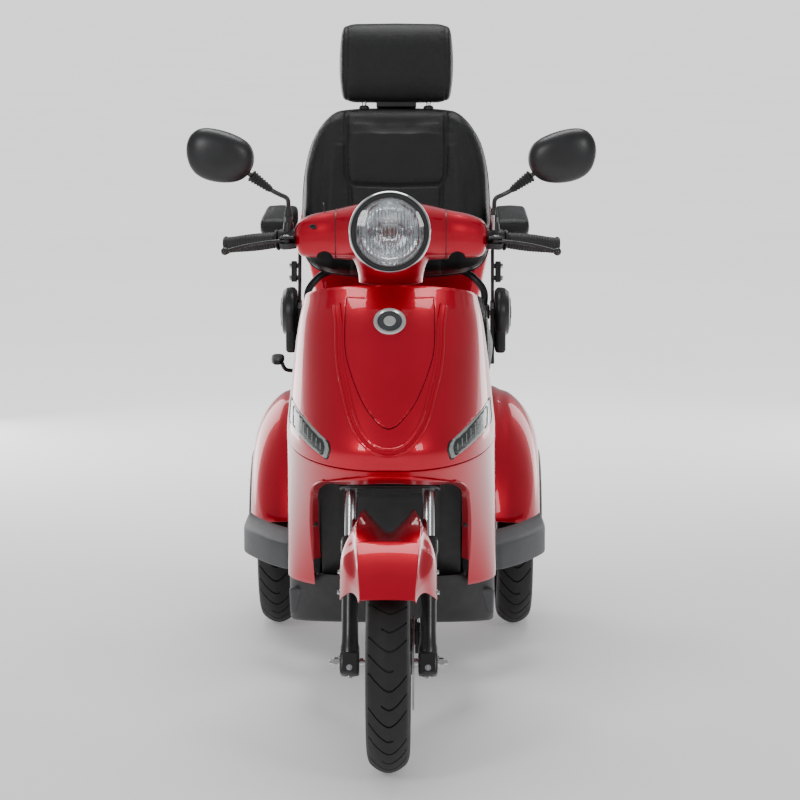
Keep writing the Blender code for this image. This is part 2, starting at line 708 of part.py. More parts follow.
def build_nacelle():
    """Painted cover over the middle of the bar, with the headlight bucket and a neck below it."""
    sections = ((-0.186, -0.312, 0.986, 0.030, 0.030), (-0.170, -0.316, 0.990, 0.037, 0.040),
                (-0.110, -0.330, 0.996, 0.048, 0.048), (-0.060, -0.350, 1.002, 0.070, 0.056),
                (0.0, -0.360, 1.004, 0.082, 0.060))
    sections += tuple((-x, y, z, a, b) for x, y, z, a, b in reversed(sections[:-1]))
    cover = loft("headlight_nacelle", [oval(x, y, z, a, b) for x, y, z, a, b in sections], RED)
    profile = [(0.0, -0.100), (0.050, -0.100), (0.066, -0.060), (0.074, -0.030), (0.076, 0.0), (0.070, 0.0),
               (0.066, -0.012), (0.0, -0.012)]
    bucket = turned("lamp_bucket", profile, LAMP_FACE, LAMP_AXIS, sides=20)
    neck = []
    for z, half, front, rear in ((0.905, 0.062, -0.418, -0.318), (0.930, 0.066, -0.425, -0.300),
                                 (0.965, 0.080, -0.440, -0.290), (1.000, 0.085, -0.430, -0.300)):
        middle = (front + rear) / 2
        depth = (rear - front) / 2
        neck.append([Vector((half * math.cos(math.tau * k / 16),
                             middle + depth * math.sin(math.tau * k / 16), z))
                     for k in range(16)])
    neck = loft("nacelle_neck", neck)
    join(cover, bucket, neck)

    bar_room = pipe("bar_room", bar_route(), BAR_RADIUS + 0.002, sides=16)
    stem_room = rod("stem_room", on_fork(0, FORK_OFFSET, 0.70), on_fork(0, FORK_OFFSET, 0.875), 0.021,
                    sides=20)
    key_room = rod("key_room", KEY_FACE - KEY_AXIS * 0.028, KEY_FACE + KEY_AXIS * 0.030, 0.0108, sides=20)
    return cut(cover, bar_room, stem_room, key_room)


def build_headlight():
    bezel = turned("headlight_bezel", [(0.0665, 0.0004), (0.0775, 0.0004), (0.079, 0.010), (0.076, 0.018),
                                       (0.0665, 0.016)], LAMP_FACE, LAMP_AXIS, STEEL, 24)
    lens = turned("headlight_lens", [(0.0, -0.010), (0.062, -0.010), (0.0657, 0.000), (0.0657, 0.013),
                                     (0.040, 0.026),
                                     (0.0, 0.030)], LAMP_FACE, LAMP_AXIS, GLASS, 20)
    return [bezel, lens]


def build_key():
    barrel = turned("key_switch", [(0.0, -0.026), (0.0102, -0.026), (0.0102, 0.004), (0.0, 0.004)], KEY_FACE,
                    KEY_AXIS, STEEL, 16)
    bow = slab("key_bow", (-0.0012, -0.009, 0.003), (0.0012, 0.009, 0.026))
    turn = Z_AXIS.rotation_difference(KEY_AXIS).to_matrix().to_4x4()
    bow.data.transform(Matrix.Translation(KEY_FACE) @ turn)
    join(barrel, bow)
    body("key_axis", KEY_FACE, [barrel])
    return barrel


# ---------------------------------------------------------------- rear body


def build_rear_body():
    outline = [(REAR_FRONT, 0.237), (REAR_FRONT, 0.530), (REAR_FRONT + 0.030, REAR_TOP), (0.600, REAR_TOP),
               (0.650, DECK_TOP), (0.835, DECK_TOP), (0.850, 0.570), (0.800, 0.320), (0.740, 0.250),
               (0.600, 0.237)]
    shell = prism("rear_body", outline, -BODY_HALF_WIDTH, BODY_HALF_WIDTH, RED, 0.010)
    inside = [(REAR_FRONT + 0.007, 0.150), (REAR_FRONT + 0.007, 0.523), (REAR_FRONT + 0.034, 0.552),
              (0.604, 0.552), (0.654, 0.592), (0.825, 0.592), (0.838, 0.568), (0.790, 0.324),
              (0.736, 0.258), (0.600, 0.258), (0.600, 0.150)]
    pocket = prism("battery_bay", inside, -BODY_HALF_WIDTH + 0.007, BODY_HALF_WIDTH - 0.007)
    notch = slab("axle_notch", (-0.300, REAR_AXLE.y - 0.040, 0.150), (0.300, REAR_AXLE.y + 0.040, 0.260))
    return cut(shell, pocket, notch)


def build_rear_fenders():
    """Mudguards that close over the top and outer side of the rear wheels."""
    inner_x = BODY_HALF_WIDTH + 0.001
    outer_x = 0.331
    for label, side in SIDES:
        rows = []
        for degrees in range(15, 166, 15):
            turn = math.radians(degrees)
            row = []
            for k in range(8):
                across = math.radians(90.0 * k / 7)
                reach = 1.0 - 0.45 * (1.0 - math.cos(across))
                x = inner_x + (outer_x - inner_x) * math.sin(across)
                row.append(REAR_AXLE + Vector((x * side, -0.300 * reach * math.cos(turn),
                                               0.352 * reach * math.sin(turn))))
            rows.append(row if side > 0 else list(reversed(row)))
        sheet("rear_fender_" + label, rows, 0.004, RED)


def build_side_skirts():
    """Grey corner mouldings between the footwell and the rear mudguards."""
    plan = [(0.2135, -0.016), (0.240, -0.004), (0.275, 0.040), (0.312, 0.105), (0.333, 0.155),
            (0.3355, 0.185)]
    for label, side in SIDES:
        rows = []
        for inward, z in ((0.004, 0.238), (0.0, 0.250), (0.0, 0.292), (0.006, 0.304), (0.034, 0.310)):
            rows.append([Vector(((x - inward * 0.15) * side, y + inward, z)) for x, y in plan])
        sheet("side_skirt_" + label, [list(reversed(row)) if side < 0 else row for row in rows], 0.005, GREY)


def build_battery():
    case = slab("battery_pack", (-0.112, 0.142, 0.182), (0.112, 0.332, 0.350), BLACK, 0.006, 1)
    handle = slab("battery_strap", (-0.060, 0.220, 0.345), (0.060, 0.260, 0.362))
    return join(case, handle)


def build_tail_lamp():
    outline = [(0.8275, 0.440), (0.8445, 0.440), (0.8565, 0.500), (0.8395, 0.500)]
    return prism("tail_lamp", outline, -0.130, 0.130, LAMP_RED)


def build_top_box():
    """Luggage box behind the seat, on four feet, with a lid hinged along its front edge."""
    front_low, front_high, rear_low, rear_high = 0.690, 0.676, 0.862, OVERALL_LENGTH / 2
    low_z, high_z = DECK_TOP + 0.030, 0.912
    low_half, high_half = 0.180, 0.233

    def ring(half, front, rear, z, inset):
        corner = 0.030
        points = []
        for cx, cy, start in ((half - corner, rear - corner, 0), (-half + corner, rear - corner, 90),
                              (-half + corner, front + corner, 180), (half - corner, front + corner, 270)):
            points += arc((cx, cy), corner - inset, start, start + 90, 3)
        return [Vector((x, y, z)) for x, y in points]

    box = loft("top_box", [ring(low_half, front_low, rear_low, low_z, 0),
                           ring(high_half, front_high, rear_high, high_z, 0)],
               RED)
    room = loft("box_room", [ring(low_half, front_low, rear_low, low_z + 0.006, 0.005),
                             ring(high_half + 0.001, front_high, rear_high, high_z + 0.006, 0.005)])
    feet = [slab("box_foot_%d" % i, (x - 0.02, y - 0.015, DECK_TOP + GAP),
                 (x + 0.02, y + 0.015, low_z + 0.003))
            for i, (x, y) in enumerate(((-0.13, 0.72), (0.13, 0.72), (-0.13, 0.80), (0.13, 0.80)))]
    cut(box, room)
    join(box, *feet)
    lid = loft("top_box_lid", [ring(high_half, front_high, rear_high, high_z + GAP, 0),
                               ring(high_half, front_high, rear_high, 0.938, 0),
                               ring(high_half - 0.010, front_high + 0.008, rear_high - 0.008, 0.960, 0),
                               ring(high_half - 0.040, front_high + 0.030, rear_high - 0.030, 0.970, 0)], RED)
    hollow = loft("lid_room", [ring(high_half, front_high, rear_high, high_z - 0.010, 0.005),
                               ring(high_half - 0.004, front_high + 0.004, rear_high - 0.004, 0.934, 0.005),
                               ring(high_half - 0.044, front_high + 0.030, rear_high - 0.030, 0.962, 0.005)])
    cut(lid, hollow)
    body("lid_axis", Vector((0.0, front_high, high_z)), [lid])


# ---------------------------------------------------------------- seat


def build_seat_base():
    post = turned("seat_post", [(0.0, REAR_TOP + GAP), (0.062, REAR_TOP + GAP), (0.062, REAR_TOP + 0.008),
                                (0.026, REAR_TOP + 0.012), (0.026, 0.606), (0.0, 0.606)],
                  Vector((0.0, SWIVEL_Y, 0.0)), Z_AXIS, BLACK, 16)
    base = slab("seat_base", (-0.180, 0.060, 0.622), (0.180, 0.440, 0.640), BLACK)
    socket = rod("seat_socket", Vector((0.0, SWIVEL_Y, 0.6065)), Vector((0.0, SWIVEL_Y, 0.625)), 0.050,
                 sides=16)
    ears = []
    for label, side in SIDES:
        ears.append(slab("hinge_ear_" + label, (0.170 * side if side > 0 else -0.226, 0.395, 0.625),
                         (0.226 if side > 0 else -0.170, 0.435, 0.640)))
        ears.append(slab("hinge_plate_" + label, (0.2165 * side if side > 0 else -0.226, 0.395, 0.625),
                         (0.226 if side > 0 else -0.2165, 0.475, 0.765)))
    join(base, socket, *ears)
    drills = [rod("hinge_bore_" + label, Vector((0.19 * side, RECLINE_Y, RECLINE_Z)),
                  Vector((0.25 * side, RECLINE_Y, RECLINE_Z)), 0.0085, sides=16) for label, side in SIDES]
    cut(base, *drills)

    outline = [(0.012, 0.660), (0.000, 0.700), (0.004, 0.760), (0.030, 0.786), (0.150, 0.792), (0.330, 0.782),
               (0.408, 0.776), (0.418, 0.700), (0.410, 0.6405), (0.050, 0.6405)]
    cushion = prism("seat_cushion", outline, -SEAT_HALF_WIDTH, SEAT_HALF_WIDTH, LEATHER, 0.018, 2)

    covers = []
    for label, side in SIDES:
        profile = [(0.0, 0.2265), (0.052, 0.2265), (0.058, 0.238), (0.054, 0.256), (0.040, 0.263),
                   (0.0, 0.263)]
        cover = turned("recline_cover_" + label, profile, Vector((0.0, RECLINE_Y - 0.008, RECLINE_Z)),
                       X_AXIS * side,
                       GREY, 16)
        skirt = slab("cover_skirt_" + label, (0.2265 if side > 0 else -0.252, 0.388, 0.650),
                     (0.252 if side > 0 else -0.2265, 0.470, 0.735), bevel=0.006)
        hollow = rod("cover_bore_" + label, Vector((0.20 * side, RECLINE_Y, RECLINE_Z)),
                     Vector((0.234 * side, RECLINE_Y, RECLINE_Z)), 0.0125, sides=16)
        join(cover, skirt)
        covers.append(cut(cover, hollow))

    pivot = Vector((-0.232, 0.250, 0.632))
    lever = pipe("seat_lever", [pivot + Vector((0.072, 0.0, 0.0)), pivot,
                                pivot + Vector((-0.014, -0.008, 0.006)),
                                pivot + Vector((-0.024, -0.030, 0.036)),
                                pivot + Vector((-0.025, -0.062, 0.039))], 0.0045, BLACK, 10)
    paddle = slab("lever_paddle", pivot + Vector((-0.040, -0.112, 0.030)),
                  pivot + Vector((-0.010, -0.052, 0.048)),
                  bevel=0.004)
    join(lever, paddle)
    lever_bore = rod("lever_bore", Vector((-0.300, 0.250, 0.632)), Vector((-0.155, 0.250, 0.632)), 0.0050,
                     sides=16)
    cut(base, lever_bore)
    body("seat_lever_axis", pivot, [lever])
    body("swivel_axis", Vector((0.0, SWIVEL_Y, 0.606)), [base, cushion, *covers])


def back_prism(name, outline, low, high, look, bevel=0.0, segments=1):
    """Backrest outline of (x, up) points given thickness along the backrest's front direction."""
    made = loft(name, [[on_back(x, up, front) for x, up in outline] for front in (low, high)], look)
    if bevel:
        round_edges(made, bevel, segments)
    return made


def build_backrest():
    half = [(0.0, 0.078), (0.110, 0.080), (0.170, 0.090), (0.202, 0.110), (0.217, 0.150), (0.2185, 0.235),
            (0.2165, 0.295), (0.2100, 0.345), (0.1970, 0.393), (0.1740, 0.432), (0.1440, 0.460),
            (0.1100, 0.470), (0.0, 0.472)]
    outline = half + [(-x, up) for x, up in reversed(half[1:-1])]
    cushion = back_prism("backrest_cushion", outline, -0.014, 0.072, LEATHER, 0.016, 2)
    sockets = [rod("post_room_%s" % label, on_back(POST_X * side, 0.300, 0.015),
                   on_back(POST_X * side, 0.520, 0.015),
                   0.0075, sides=12) for label, side in SIDES]
    cut(cushion, *sockets)

    frame = back_prism("backrest_frame", [(-0.150, 0.090), (0.150, 0.090), (0.150, 0.430), (-0.150, 0.430)],
                       -0.026, -0.0145, BLACK)
    arms = []
    for label, side in SIDES:
        arms.append(slab("frame_strap_" + label, (0.190 if side > 0 else -0.2155, 0.421, 0.725),
                         (0.2155 if side > 0 else -0.190, 0.459, 0.756)))
        arms.append(rod("frame_pin_" + label, Vector((0.200 * side, RECLINE_Y, RECLINE_Z)),
                        Vector((0.2325 * side, RECLINE_Y, RECLINE_Z)), 0.0078, sides=16))
        low = on_back(0.140 * side, 0.100, -0.0240)
        route = [low, on_back(0.175 * side, 0.085, -0.0240), on_back(0.202 * side, 0.050, -0.012),
                 Vector((0.2025 * side, RECLINE_Y, RECLINE_Z + 0.008))]
        arms.append(pipe("frame_arm_" + label, route, 0.0085, sides=12))
        reach = [on_back(0.140 * side, ARM_UP, -0.0205), on_back(0.229 * side, ARM_UP, -0.0205)]
        arms.append(rod("arm_bar_" + label, *reach, 0.0050, sides=12))
        lug = on_back(0.0, ARM_UP, -0.020)
        arms.append(rod("arm_lug_" + label, Vector((0.2225 * side, lug.y, lug.z)),
                        Vector((0.2285 * side, lug.y, lug.z)), 0.0140, sides=16))
    join(frame, *arms)
    return [cushion, frame]


def build_headrest():
    """Barrel-shaped pad on two posts that slide in the backrest."""
    loops = []
    count = 16
    for x, share in ((-0.125, 0.86), (-0.118, 0.96), (-0.060, 1.0), (0.0, 1.0), (0.060, 1.0), (0.118, 0.96),
                     (0.125, 0.86)):
        loop = []
        for k in range(count):
            turn = math.tau * k / count
            high = math.copysign(abs(math.sin(turn)) ** 0.75, math.sin(turn)) * 0.0915 * share
            deep = math.copysign(abs(math.cos(turn)) ** 0.9, math.cos(turn)) * 0.042 * share
            loop.append(on_back(x, 0.575 + high, 0.018 + deep))
        loops.append(loop)
    pad = loft("headrest_cushion", loops, LEATHER)
    rooms = [rod("pad_room_" + label, on_back(POST_X * side, 0.450, 0.015),
                 on_back(POST_X * side, 0.545, 0.015),
                 0.0064, sides=12) for label, side in SIDES]
    cut(pad, *rooms)
    posts = rod("headrest_posts", on_back(POST_X, 0.360, 0.015), on_back(POST_X, 0.540, 0.015), 0.0060,
                STEEL, 12)
    other = rod("second_post", on_back(-POST_X, 0.360, 0.015), on_back(-POST_X, 0.540, 0.015), 0.0060,
                sides=12)
    bridge = slab("post_block", (-0.075, -0.006, -0.008), (0.075, 0.006, 0.002))
    lean = Matrix.Rotation(-BACK_LEAN, 4, "X")
    bridge.data.transform(Matrix.Translation(on_back(0.0, 0.481, 0.015)) @ lean)
    join(posts, other, bridge)
    return [pad, posts]


def build_armrests():
    pivot_mid = on_back(0.0, ARM_UP, -0.020)
    for label, side in SIDES:
        pivot = Vector((0.236 * side, pivot_mid.y, pivot_mid.z))
        outline = [(0.205, 0.9300), (0.196, 0.9480), (0.206, 0.9700), (0.240, 0.9760), (0.460, 0.9740),
                   (0.476, 0.9600), (0.470, 0.9320)]
        pad = prism("armrest_pad_" + label, outline, (0.222 if side > 0 else -0.299),
                    (0.299 if side > 0 else -0.222), LEATHER, 0.010, 1)
        arm = rod("armrest_arm_" + label, pivot - X_AXIS * side * 0.0068, pivot + X_AXIS * side * 0.0080,
                  0.0160,
                  BLACK, 12)
        bar = pipe("arm_rail_" + label, [pivot + X_AXIS * side * 0.004,
                                         pivot + Vector((0.003 * side, -0.030, 0.020)),
                                         Vector((0.252 * side, 0.430, 0.917)),
                                         Vector((0.258 * side, 0.230, 0.917))],
                   0.0085, sides=12)
        plate = slab("arm_plate_" + label, (0.232 if side > 0 else -0.284, 0.225, 0.9190),
                     (0.284 if side > 0 else -0.232, 0.440, 0.9296))
        join(arm, bar, plate)
        body("armrest_axis_" + label, pivot, [pad, arm])


# ---------------------------------------------------------------- assembly


def main():
    for leftover in list(bpy.data.objects):
        bpy.data.objects.remove(leftover)

    fork_lower = [build_front_wheel(), *build_fork_legs(), build_front_fender(), build_brake_caliper()]
    body("fork_lower_axis", FRONT_AXLE, fork_lower)
    steering = [build_fork_crown(), build_handlebar(), *build_lever_brackets(), build_nacelle(),
                *build_headlight(), grip("grip_left", 1.0, 0.036, 0.150, 0.0150)]
    body("steering_axis", on_fork(0.0, FORK_OFFSET, 0.0), steering)
    throttle = grip("throttle_grip", -1.0, 0.036, 0.150, 0.0150)
    body("throttle_axis", along_grip(-1.0, 0.0), [throttle])
    build_brake_levers()
    build_mirrors()
    build_key()

    build_rear_axle()
    build_frame()
    build_floor()
    build_leg_shield()
    build_front_shield()
    build_shield_panel()
    build_position_lamps()
    build_lower_fairing()
    build_rear_body()
    build_rear_fenders()
    build_side_skirts()
    build_battery()
    build_tail_lamp()
    build_top_box()

    build_seat_base()
    backrest = build_backrest()
    body("recline_axis", Vector((0.0, RECLINE_Y, RECLINE_Z)), backrest)
    body("headrest_axis", on_back(0.0, 0.481, 0.015), build_headrest())
    build_armrests()


main()
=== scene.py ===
"""Looks of the three-wheel mobility scooter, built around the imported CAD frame."""

import json
from math import atan2, copysign, cos, exp, hypot, pi, radians, sin, tau

import bmesh
import numpy as np
import bpy
from mathutils import Matrix, Vector
from mathutils.bvhtree import BVHTree


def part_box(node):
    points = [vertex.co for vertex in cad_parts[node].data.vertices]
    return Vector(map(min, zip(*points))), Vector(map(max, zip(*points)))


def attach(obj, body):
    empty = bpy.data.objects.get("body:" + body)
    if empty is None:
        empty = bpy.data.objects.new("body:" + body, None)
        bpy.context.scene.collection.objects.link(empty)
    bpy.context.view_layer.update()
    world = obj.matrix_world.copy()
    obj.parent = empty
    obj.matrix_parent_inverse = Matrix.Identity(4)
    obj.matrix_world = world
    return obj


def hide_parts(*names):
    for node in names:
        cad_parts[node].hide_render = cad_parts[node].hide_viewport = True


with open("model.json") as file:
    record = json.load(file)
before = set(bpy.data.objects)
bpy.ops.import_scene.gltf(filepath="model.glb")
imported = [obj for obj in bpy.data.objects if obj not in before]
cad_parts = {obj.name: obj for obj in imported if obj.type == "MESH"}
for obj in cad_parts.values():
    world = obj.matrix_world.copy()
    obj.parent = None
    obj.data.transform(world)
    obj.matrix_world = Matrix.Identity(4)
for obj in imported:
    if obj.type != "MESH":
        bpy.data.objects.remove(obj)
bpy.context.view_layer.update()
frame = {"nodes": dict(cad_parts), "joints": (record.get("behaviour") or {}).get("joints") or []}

# ---------------------------------------------------------------- places, from the frame

X_AXIS = Vector((1.0, 0.0, 0.0))
Y_AXIS = Vector((0.0, 1.0, 0.0))
Z_AXIS = Vector((0.0, 0.0, 1.0))
SIDES = (("left", 1.0), ("right", -1.0))
JOINTS = {joint["name"]: joint for joint in frame["joints"]}


def joint_point(name):
    """Where a joint is at rest."""
    return Vector(JOINTS[name]["pos_m"])


def joint_axis(name):
    """Direction of a joint at rest."""
    return Vector(JOINTS[name]["axis"])


WHEEL_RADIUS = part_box("front_tyre")[1].z / 2
FRONT_AXLE = joint_point("front_wheel_spin")
REAR_AXLE = Vector((0.0, joint_point("rear_wheel_left_spin").y, WHEEL_RADIUS))
REAR_TRACK = 2 * joint_point("rear_wheel_left_spin").x
STEER_UP = joint_axis("steering_turn")
STEER_BACK = X_AXIS.cross(STEER_UP) * -1.0
FORK_LEAN = radians(24.0)
FORK_OFFSET = 0.03
FORK_LEG_X = 0.075
RECLINE = joint_point("backrest_recline")
BACK_LEAN = radians(12.0)
BACK_UP = joint_axis("headrest_height")
BACK_FRONT = BACK_UP.cross(X_AXIS) * -1.0
SWIVEL = joint_point("seat_swivel")
BODY_HALF_WIDTH = 0.205
FLOOR_TOP = 0.235
DECK_TOP = 0.6


def on_fork(x, back, up):
    """Point beside the fork: back from the axle and up, both square to the steering axis."""
    return FRONT_AXLE + X_AXIS * x + STEER_BACK * back + STEER_UP * up


def on_back(x, up, front):
    """Point on the backrest: up along its lean and forward of its hinge plane."""
    return RECLINE + X_AXIS * x + BACK_UP * up + BACK_FRONT * front


# ---------------------------------------------------------------- materials


class Nodes:
    """Short way to write a node tree: each call makes one node and returns it."""

    def __init__(self, name):
        self.material = bpy.data.materials.new(name)
        self.material.use_nodes = True
        self.tree = self.material.node_tree
        self.shader = self.tree.nodes["Principled BSDF"]
        self.coords = self.tree.nodes.new("ShaderNodeTexCoord").outputs["Object"]

    def link(self, source, target):
        self.tree.links.new(source, target)

    def set(self, **values):
        for name, value in values.items():
            self.shader.inputs[name.replace("_", " ")].default_value = value

    def mapped(self, scale):
        node = self.tree.nodes.new("ShaderNodeMapping")
        node.inputs["Scale"].default_value = scale
        self.link(self.coords, node.inputs["Vector"])
        return node.outputs["Vector"]

    def noise(self, scale, detail=4.0, roughness=0.55, stretch=None):
        node = self.tree.nodes.new("ShaderNodeTexNoise")
        node.inputs["Scale"].default_value = scale
        node.inputs["Detail"].default_value = detail
        node.inputs["Roughness"].default_value = roughness
        self.link(self.mapped(stretch) if stretch else self.coords, node.inputs["Vector"])
        return node.outputs["Fac"]

    def cells(self, scale, feature="F1", output="Distance", stretch=None):
        node = self.tree.nodes.new("ShaderNodeTexVoronoi")
        node.feature = feature
        node.inputs["Scale"].default_value = scale
        self.link(self.mapped(stretch) if stretch else self.coords, node.inputs["Vector"])
        return node.outputs[output]

    def ramp(self, factor, stops):
        node = self.tree.nodes.new("ShaderNodeValToRGB")
        ramp = node.color_ramp
        while len(ramp.elements) < len(stops):
            ramp.elements.new(0.5)
        for element, (place, colour) in zip(ramp.elements, stops):
            element.position = place
            element.color = (*colour, 1.0)
        self.link(factor, node.inputs["Fac"])
        return node.outputs["Color"]

    def spread(self, factor, low, high):
        node = self.tree.nodes.new("ShaderNodeMapRange")
        node.inputs["To Min"].default_value = low
        node.inputs["To Max"].default_value = high
        self.link(factor, node.inputs["Value"])
        return node.outputs["Result"]

    def add(self, first, second, share=1.0):
        node = self.tree.nodes.new("ShaderNodeMath")
        node.operation = "MULTIPLY_ADD"
        self.link(second, node.inputs[0])
        node.inputs[1].default_value = share
        self.link(first, node.inputs[2])
        return node.outputs["Value"]

    def bump(self, height, distance, strength=1.0):
        node = self.tree.nodes.new("ShaderNodeBump")
        node.inputs["Distance"].default_value = distance
        node.inputs["Strength"].default_value = strength
        self.link(height, node.inputs["Height"])
        self.link(node.outputs["Normal"], self.shader.inputs["Normal"])

    def colour(self, output):
        self.link(output, self.shader.inputs["Base Color"])

    def roughness(self, output):
        self.link(output, self.shader.inputs["Roughness"])

    def shades(self, scale, detail, dark, light, low=0.3, high=0.7):
        """Base colour that drifts between two close shades in soft clouds."""
        self.colour(self.ramp(self.noise(scale, detail), ((low, dark), (high, light))))

    def haze(self, low, high, *cloud):
        """Roughness that drifts between two values."""
        self.roughness(self.spread(self.noise(*cloud), low, high))


def red_paint():
    """Candy red: fine metal flake under a thick clear coat, a little deeper in large soft clouds."""
    look = Nodes("candy_red_paint")
    look.shades(6.0, 3.0, (0.52, 0.001, 0.018), (0.6, 0.002, 0.024))
    look.haze(0.3, 0.42, 900.0, 2.0)
    look.bump(look.cells(1600.0), 0.00008, 0.1)
    look.set(Metallic=0.55, Specular_IOR_Level=0.1, Coat_Weight=1.0, Coat_Roughness=0.02, Coat_IOR=1.36)
    return look.material


def grey_plastic():
    """Charcoal moulded plastic with a fine spark-eroded grain."""
    look = Nodes("charcoal_moulded_plastic")
    grain = look.add(look.cells(950.0), look.noise(420.0, 3.0), 0.8)
    look.shades(9.0, 5.0, (0.06, 0.062, 0.066), (0.082, 0.085, 0.09), 0.25, 0.75)
    look.haze(0.42, 0.58, 60.0)
    look.bump(grain, 0.00016, 0.55)
    look.set(Specular_IOR_Level=0.45)
    return look.material


def black_plastic():
    """Satin black moulding with faint grain and handling marks."""
    look = Nodes("satin_black_plastic")
    look.shades(14.0, 5.0, (0.014, 0.014, 0.015), (0.024, 0.024, 0.026), 0.3, 0.75)
    look.haze(0.3, 0.46, 35.0, 6.0)
    look.bump(look.cells(1100.0), 0.00008, 0.35)
    return look.material


def black_metal():
    """Black powder coat: orange-peel surface, slightly polished in patches."""
    look = Nodes("black_powder_coat")
    look.shades(20.0, 4.0, (0.011, 0.011, 0.012), (0.021, 0.021, 0.022), 0.3, 0.75)
    look.haze(0.24, 0.42, 25.0, 5.0)
    look.bump(look.noise(520.0, 2.0), 0.00018, 0.5)
    look.set(Coat_Weight=0.25, Coat_Roughness=0.18)
    return look.material


def brushed_steel(name, shade, low, high, stretch):
    """Bare metal with fine drawn lines along one direction and faint staining."""
    look = Nodes(name)
    lines = look.noise(260.0, 3.0, 0.6, stretch)
    look.shades(30.0, 5.0, tuple(0.82 * c for c in shade), shade, 0.25, 0.75)
    look.roughness(look.spread(lines, low, high))
    look.bump(lines, 0.00005, 0.5)
    look.set(Metallic=1.0)
    return look.material


def cast_alloy():
    """Silver lacquered casting, slightly pebbled."""
    look = Nodes("silver_cast_alloy")
    look.shades(25.0, 5.0, (0.36, 0.36, 0.37), (0.5, 0.5, 0.51), 0.25, 0.75)
    look.haze(0.28, 0.44, 80.0, 5.0)
    look.bump(look.noise(380.0, 3.0), 0.0002, 0.5)
    look.set(Metallic=0.85, Coat_Weight=0.4, Coat_Roughness=0.12)
    return look.material


def rubber(name, shade, low, high, grain):
    """Rubber with a dusty, uneven bloom."""
    look = Nodes(name)
    look.shades(18.0, 6.0, tuple(0.75 * c for c in shade), shade, 0.28, 0.72)
    look.haze(low, high, 45.0, 6.0)
    look.bump(look.add(look.noise(grain, 3.0), look.cells(grain * 1.6), 0.5), 0.00022, 0.6)
    return look.material


def leather():
    """Black upholstery leather: pebbled cells, fine pores and broad soft creasing."""
    look = Nodes("black_upholstery_leather")
    pebbles = look.cells(520.0, "DISTANCE_TO_EDGE")
    pores = look.cells(1500.0)
    creases = look.noise(38.0, 5.0, 0.6)
    look.shades(7.0, 5.0, (0.0065, 0.0065, 0.007), (0.011, 0.011, 0.0115), 0.3, 0.72)
    look.haze(0.36, 0.5, 60.0, 4.0)
    look.bump(look.add(look.add(creases, pebbles, 2.2), pores, 0.35), 0.0004, 0.55)
    look.set(Specular_IOR_Level=0.34)
    return look.material


def thread():
    """Twisted black sewing thread."""
    look = Nodes("upholstery_thread")
    look.shades(500.0, 2.0, (0.02, 0.02, 0.021), (0.05, 0.05, 0.052))
    look.bump(look.noise(2400.0, 2.0), 0.0002, 0.6)
    look.set(Roughness=0.65)
    return look.material


def clear_glass(name, tint, roughness):
    """Moulded clear lens with a faint ripple."""
    look = Nodes(name)
    look.shades(12.0, 2.0, tuple(0.96 * c for c in tint), tint)
    look.bump(look.noise(140.0, 2.0), 0.0001, 0.25)
    look.set(Roughness=roughness, Transmission_Weight=1.0, IOR=1.49, Coat_Weight=0.3, Coat_Roughness=0.02)
    return look.material


def coloured_lens(name, dark, light):
    """Coloured gloss lens with a prismatic grid."""
    look = Nodes(name)
    look.shades(35.0, 3.0, dark, light)
    look.bump(look.cells(260.0, stretch=(1.0, 0.2, 1.0)), 0.0006, 0.45)
    look.haze(0.1, 0.2, 60.0)
    look.set(Specular_IOR_Level=0.3, Coat_Weight=0.4, Coat_Roughness=0.03)
    return look.material


def reflector():
    """Bright evaporated aluminium with a faint haze."""
    look = Nodes("lamp_reflector")
    look.shades(30.0, 3.0, (0.8, 0.82, 0.83), (0.9, 0.91, 0.92))
    look.haze(0.1, 0.2, 70.0)
    look.set(Metallic=1.0)
    return look.material


def plain(name, dark, light, roughness=0.4, metallic=0.0, grain=300.0):
    """Small trim: two close shades, light grain."""
    look = Nodes(name)
    look.shades(grain * 0.1, 4.0, dark, light)
    look.haze(roughness - 0.06, roughness + 0.06, grain * 0.3)
    look.bump(look.noise(grain, 2.0), 0.0001, 0.4)
    look.set(Metallic=metallic)
    return look.material


RED = red_paint()
GREY = grey_plastic()
BLACK = black_plastic()
# grey plastic darkened to paint the shade it stands in: floor nose, footwell rise and the wall behind the
# front wheel
SHADED_GREY = plain("grey_plastic_painted_shade", (0.016, 0.016, 0.017), (0.026, 0.026, 0.028), 0.5)
COAT = black_metal()
STEEL = brushed_steel("bright_steel", (0.7, 0.7, 0.71), 0.16, 0.3, (1.0, 1.0, 12.0))
TUBE = brushed_steel("satin_fork_tube", (0.56, 0.57, 0.58), 0.18, 0.24, (0.2, 0.2, 0.2))
DISC = brushed_steel("ground_brake_disc", (0.48, 0.48, 0.49), 0.2, 0.38, (0.2, 3.0, 3.0))
CHROME = brushed_steel("lamp_ring_chrome", (0.88, 0.88, 0.9), 0.1, 0.18, (1.0, 1.0, 1.0))
ALLOY = cast_alloy()
TYRE = rubber("tyre_rubber", (0.0085, 0.0082, 0.008), 0.55, 0.78, 500.0)
GRIP = rubber("grip_rubber", (0.02, 0.02, 0.02), 0.48, 0.66, 800.0)
LEATHER = leather()
THREAD = thread()
CLEAR = clear_glass("headlight_glass", (0.96, 0.97, 0.98), 0.02)
SMOKE = coloured_lens("smoked_lamp_lens", (0.016, 0.019, 0.019), (0.05, 0.056, 0.054))
PALE = coloured_lens("pale_lamp_optic", (0.26, 0.29, 0.27), (0.38, 0.41, 0.39))
TAIL = coloured_lens("red_lamp_lens", (0.15, 0.002, 0.004), (0.185, 0.003, 0.005))
REFLECTOR = reflector()
MIRROR = plain("mirror_glass", (0.8, 0.81, 0.82), (0.86, 0.87, 0.88), 0.07, 1.0, 12.0)
BADGE = plain("badge_enamel", (0.05, 0.055, 0.06), (0.075, 0.08, 0.086), 0.25)
SILVER = plain("badge_silver", (0.62, 0.62, 0.61), (0.74, 0.74, 0.73), 0.3, 0.6)
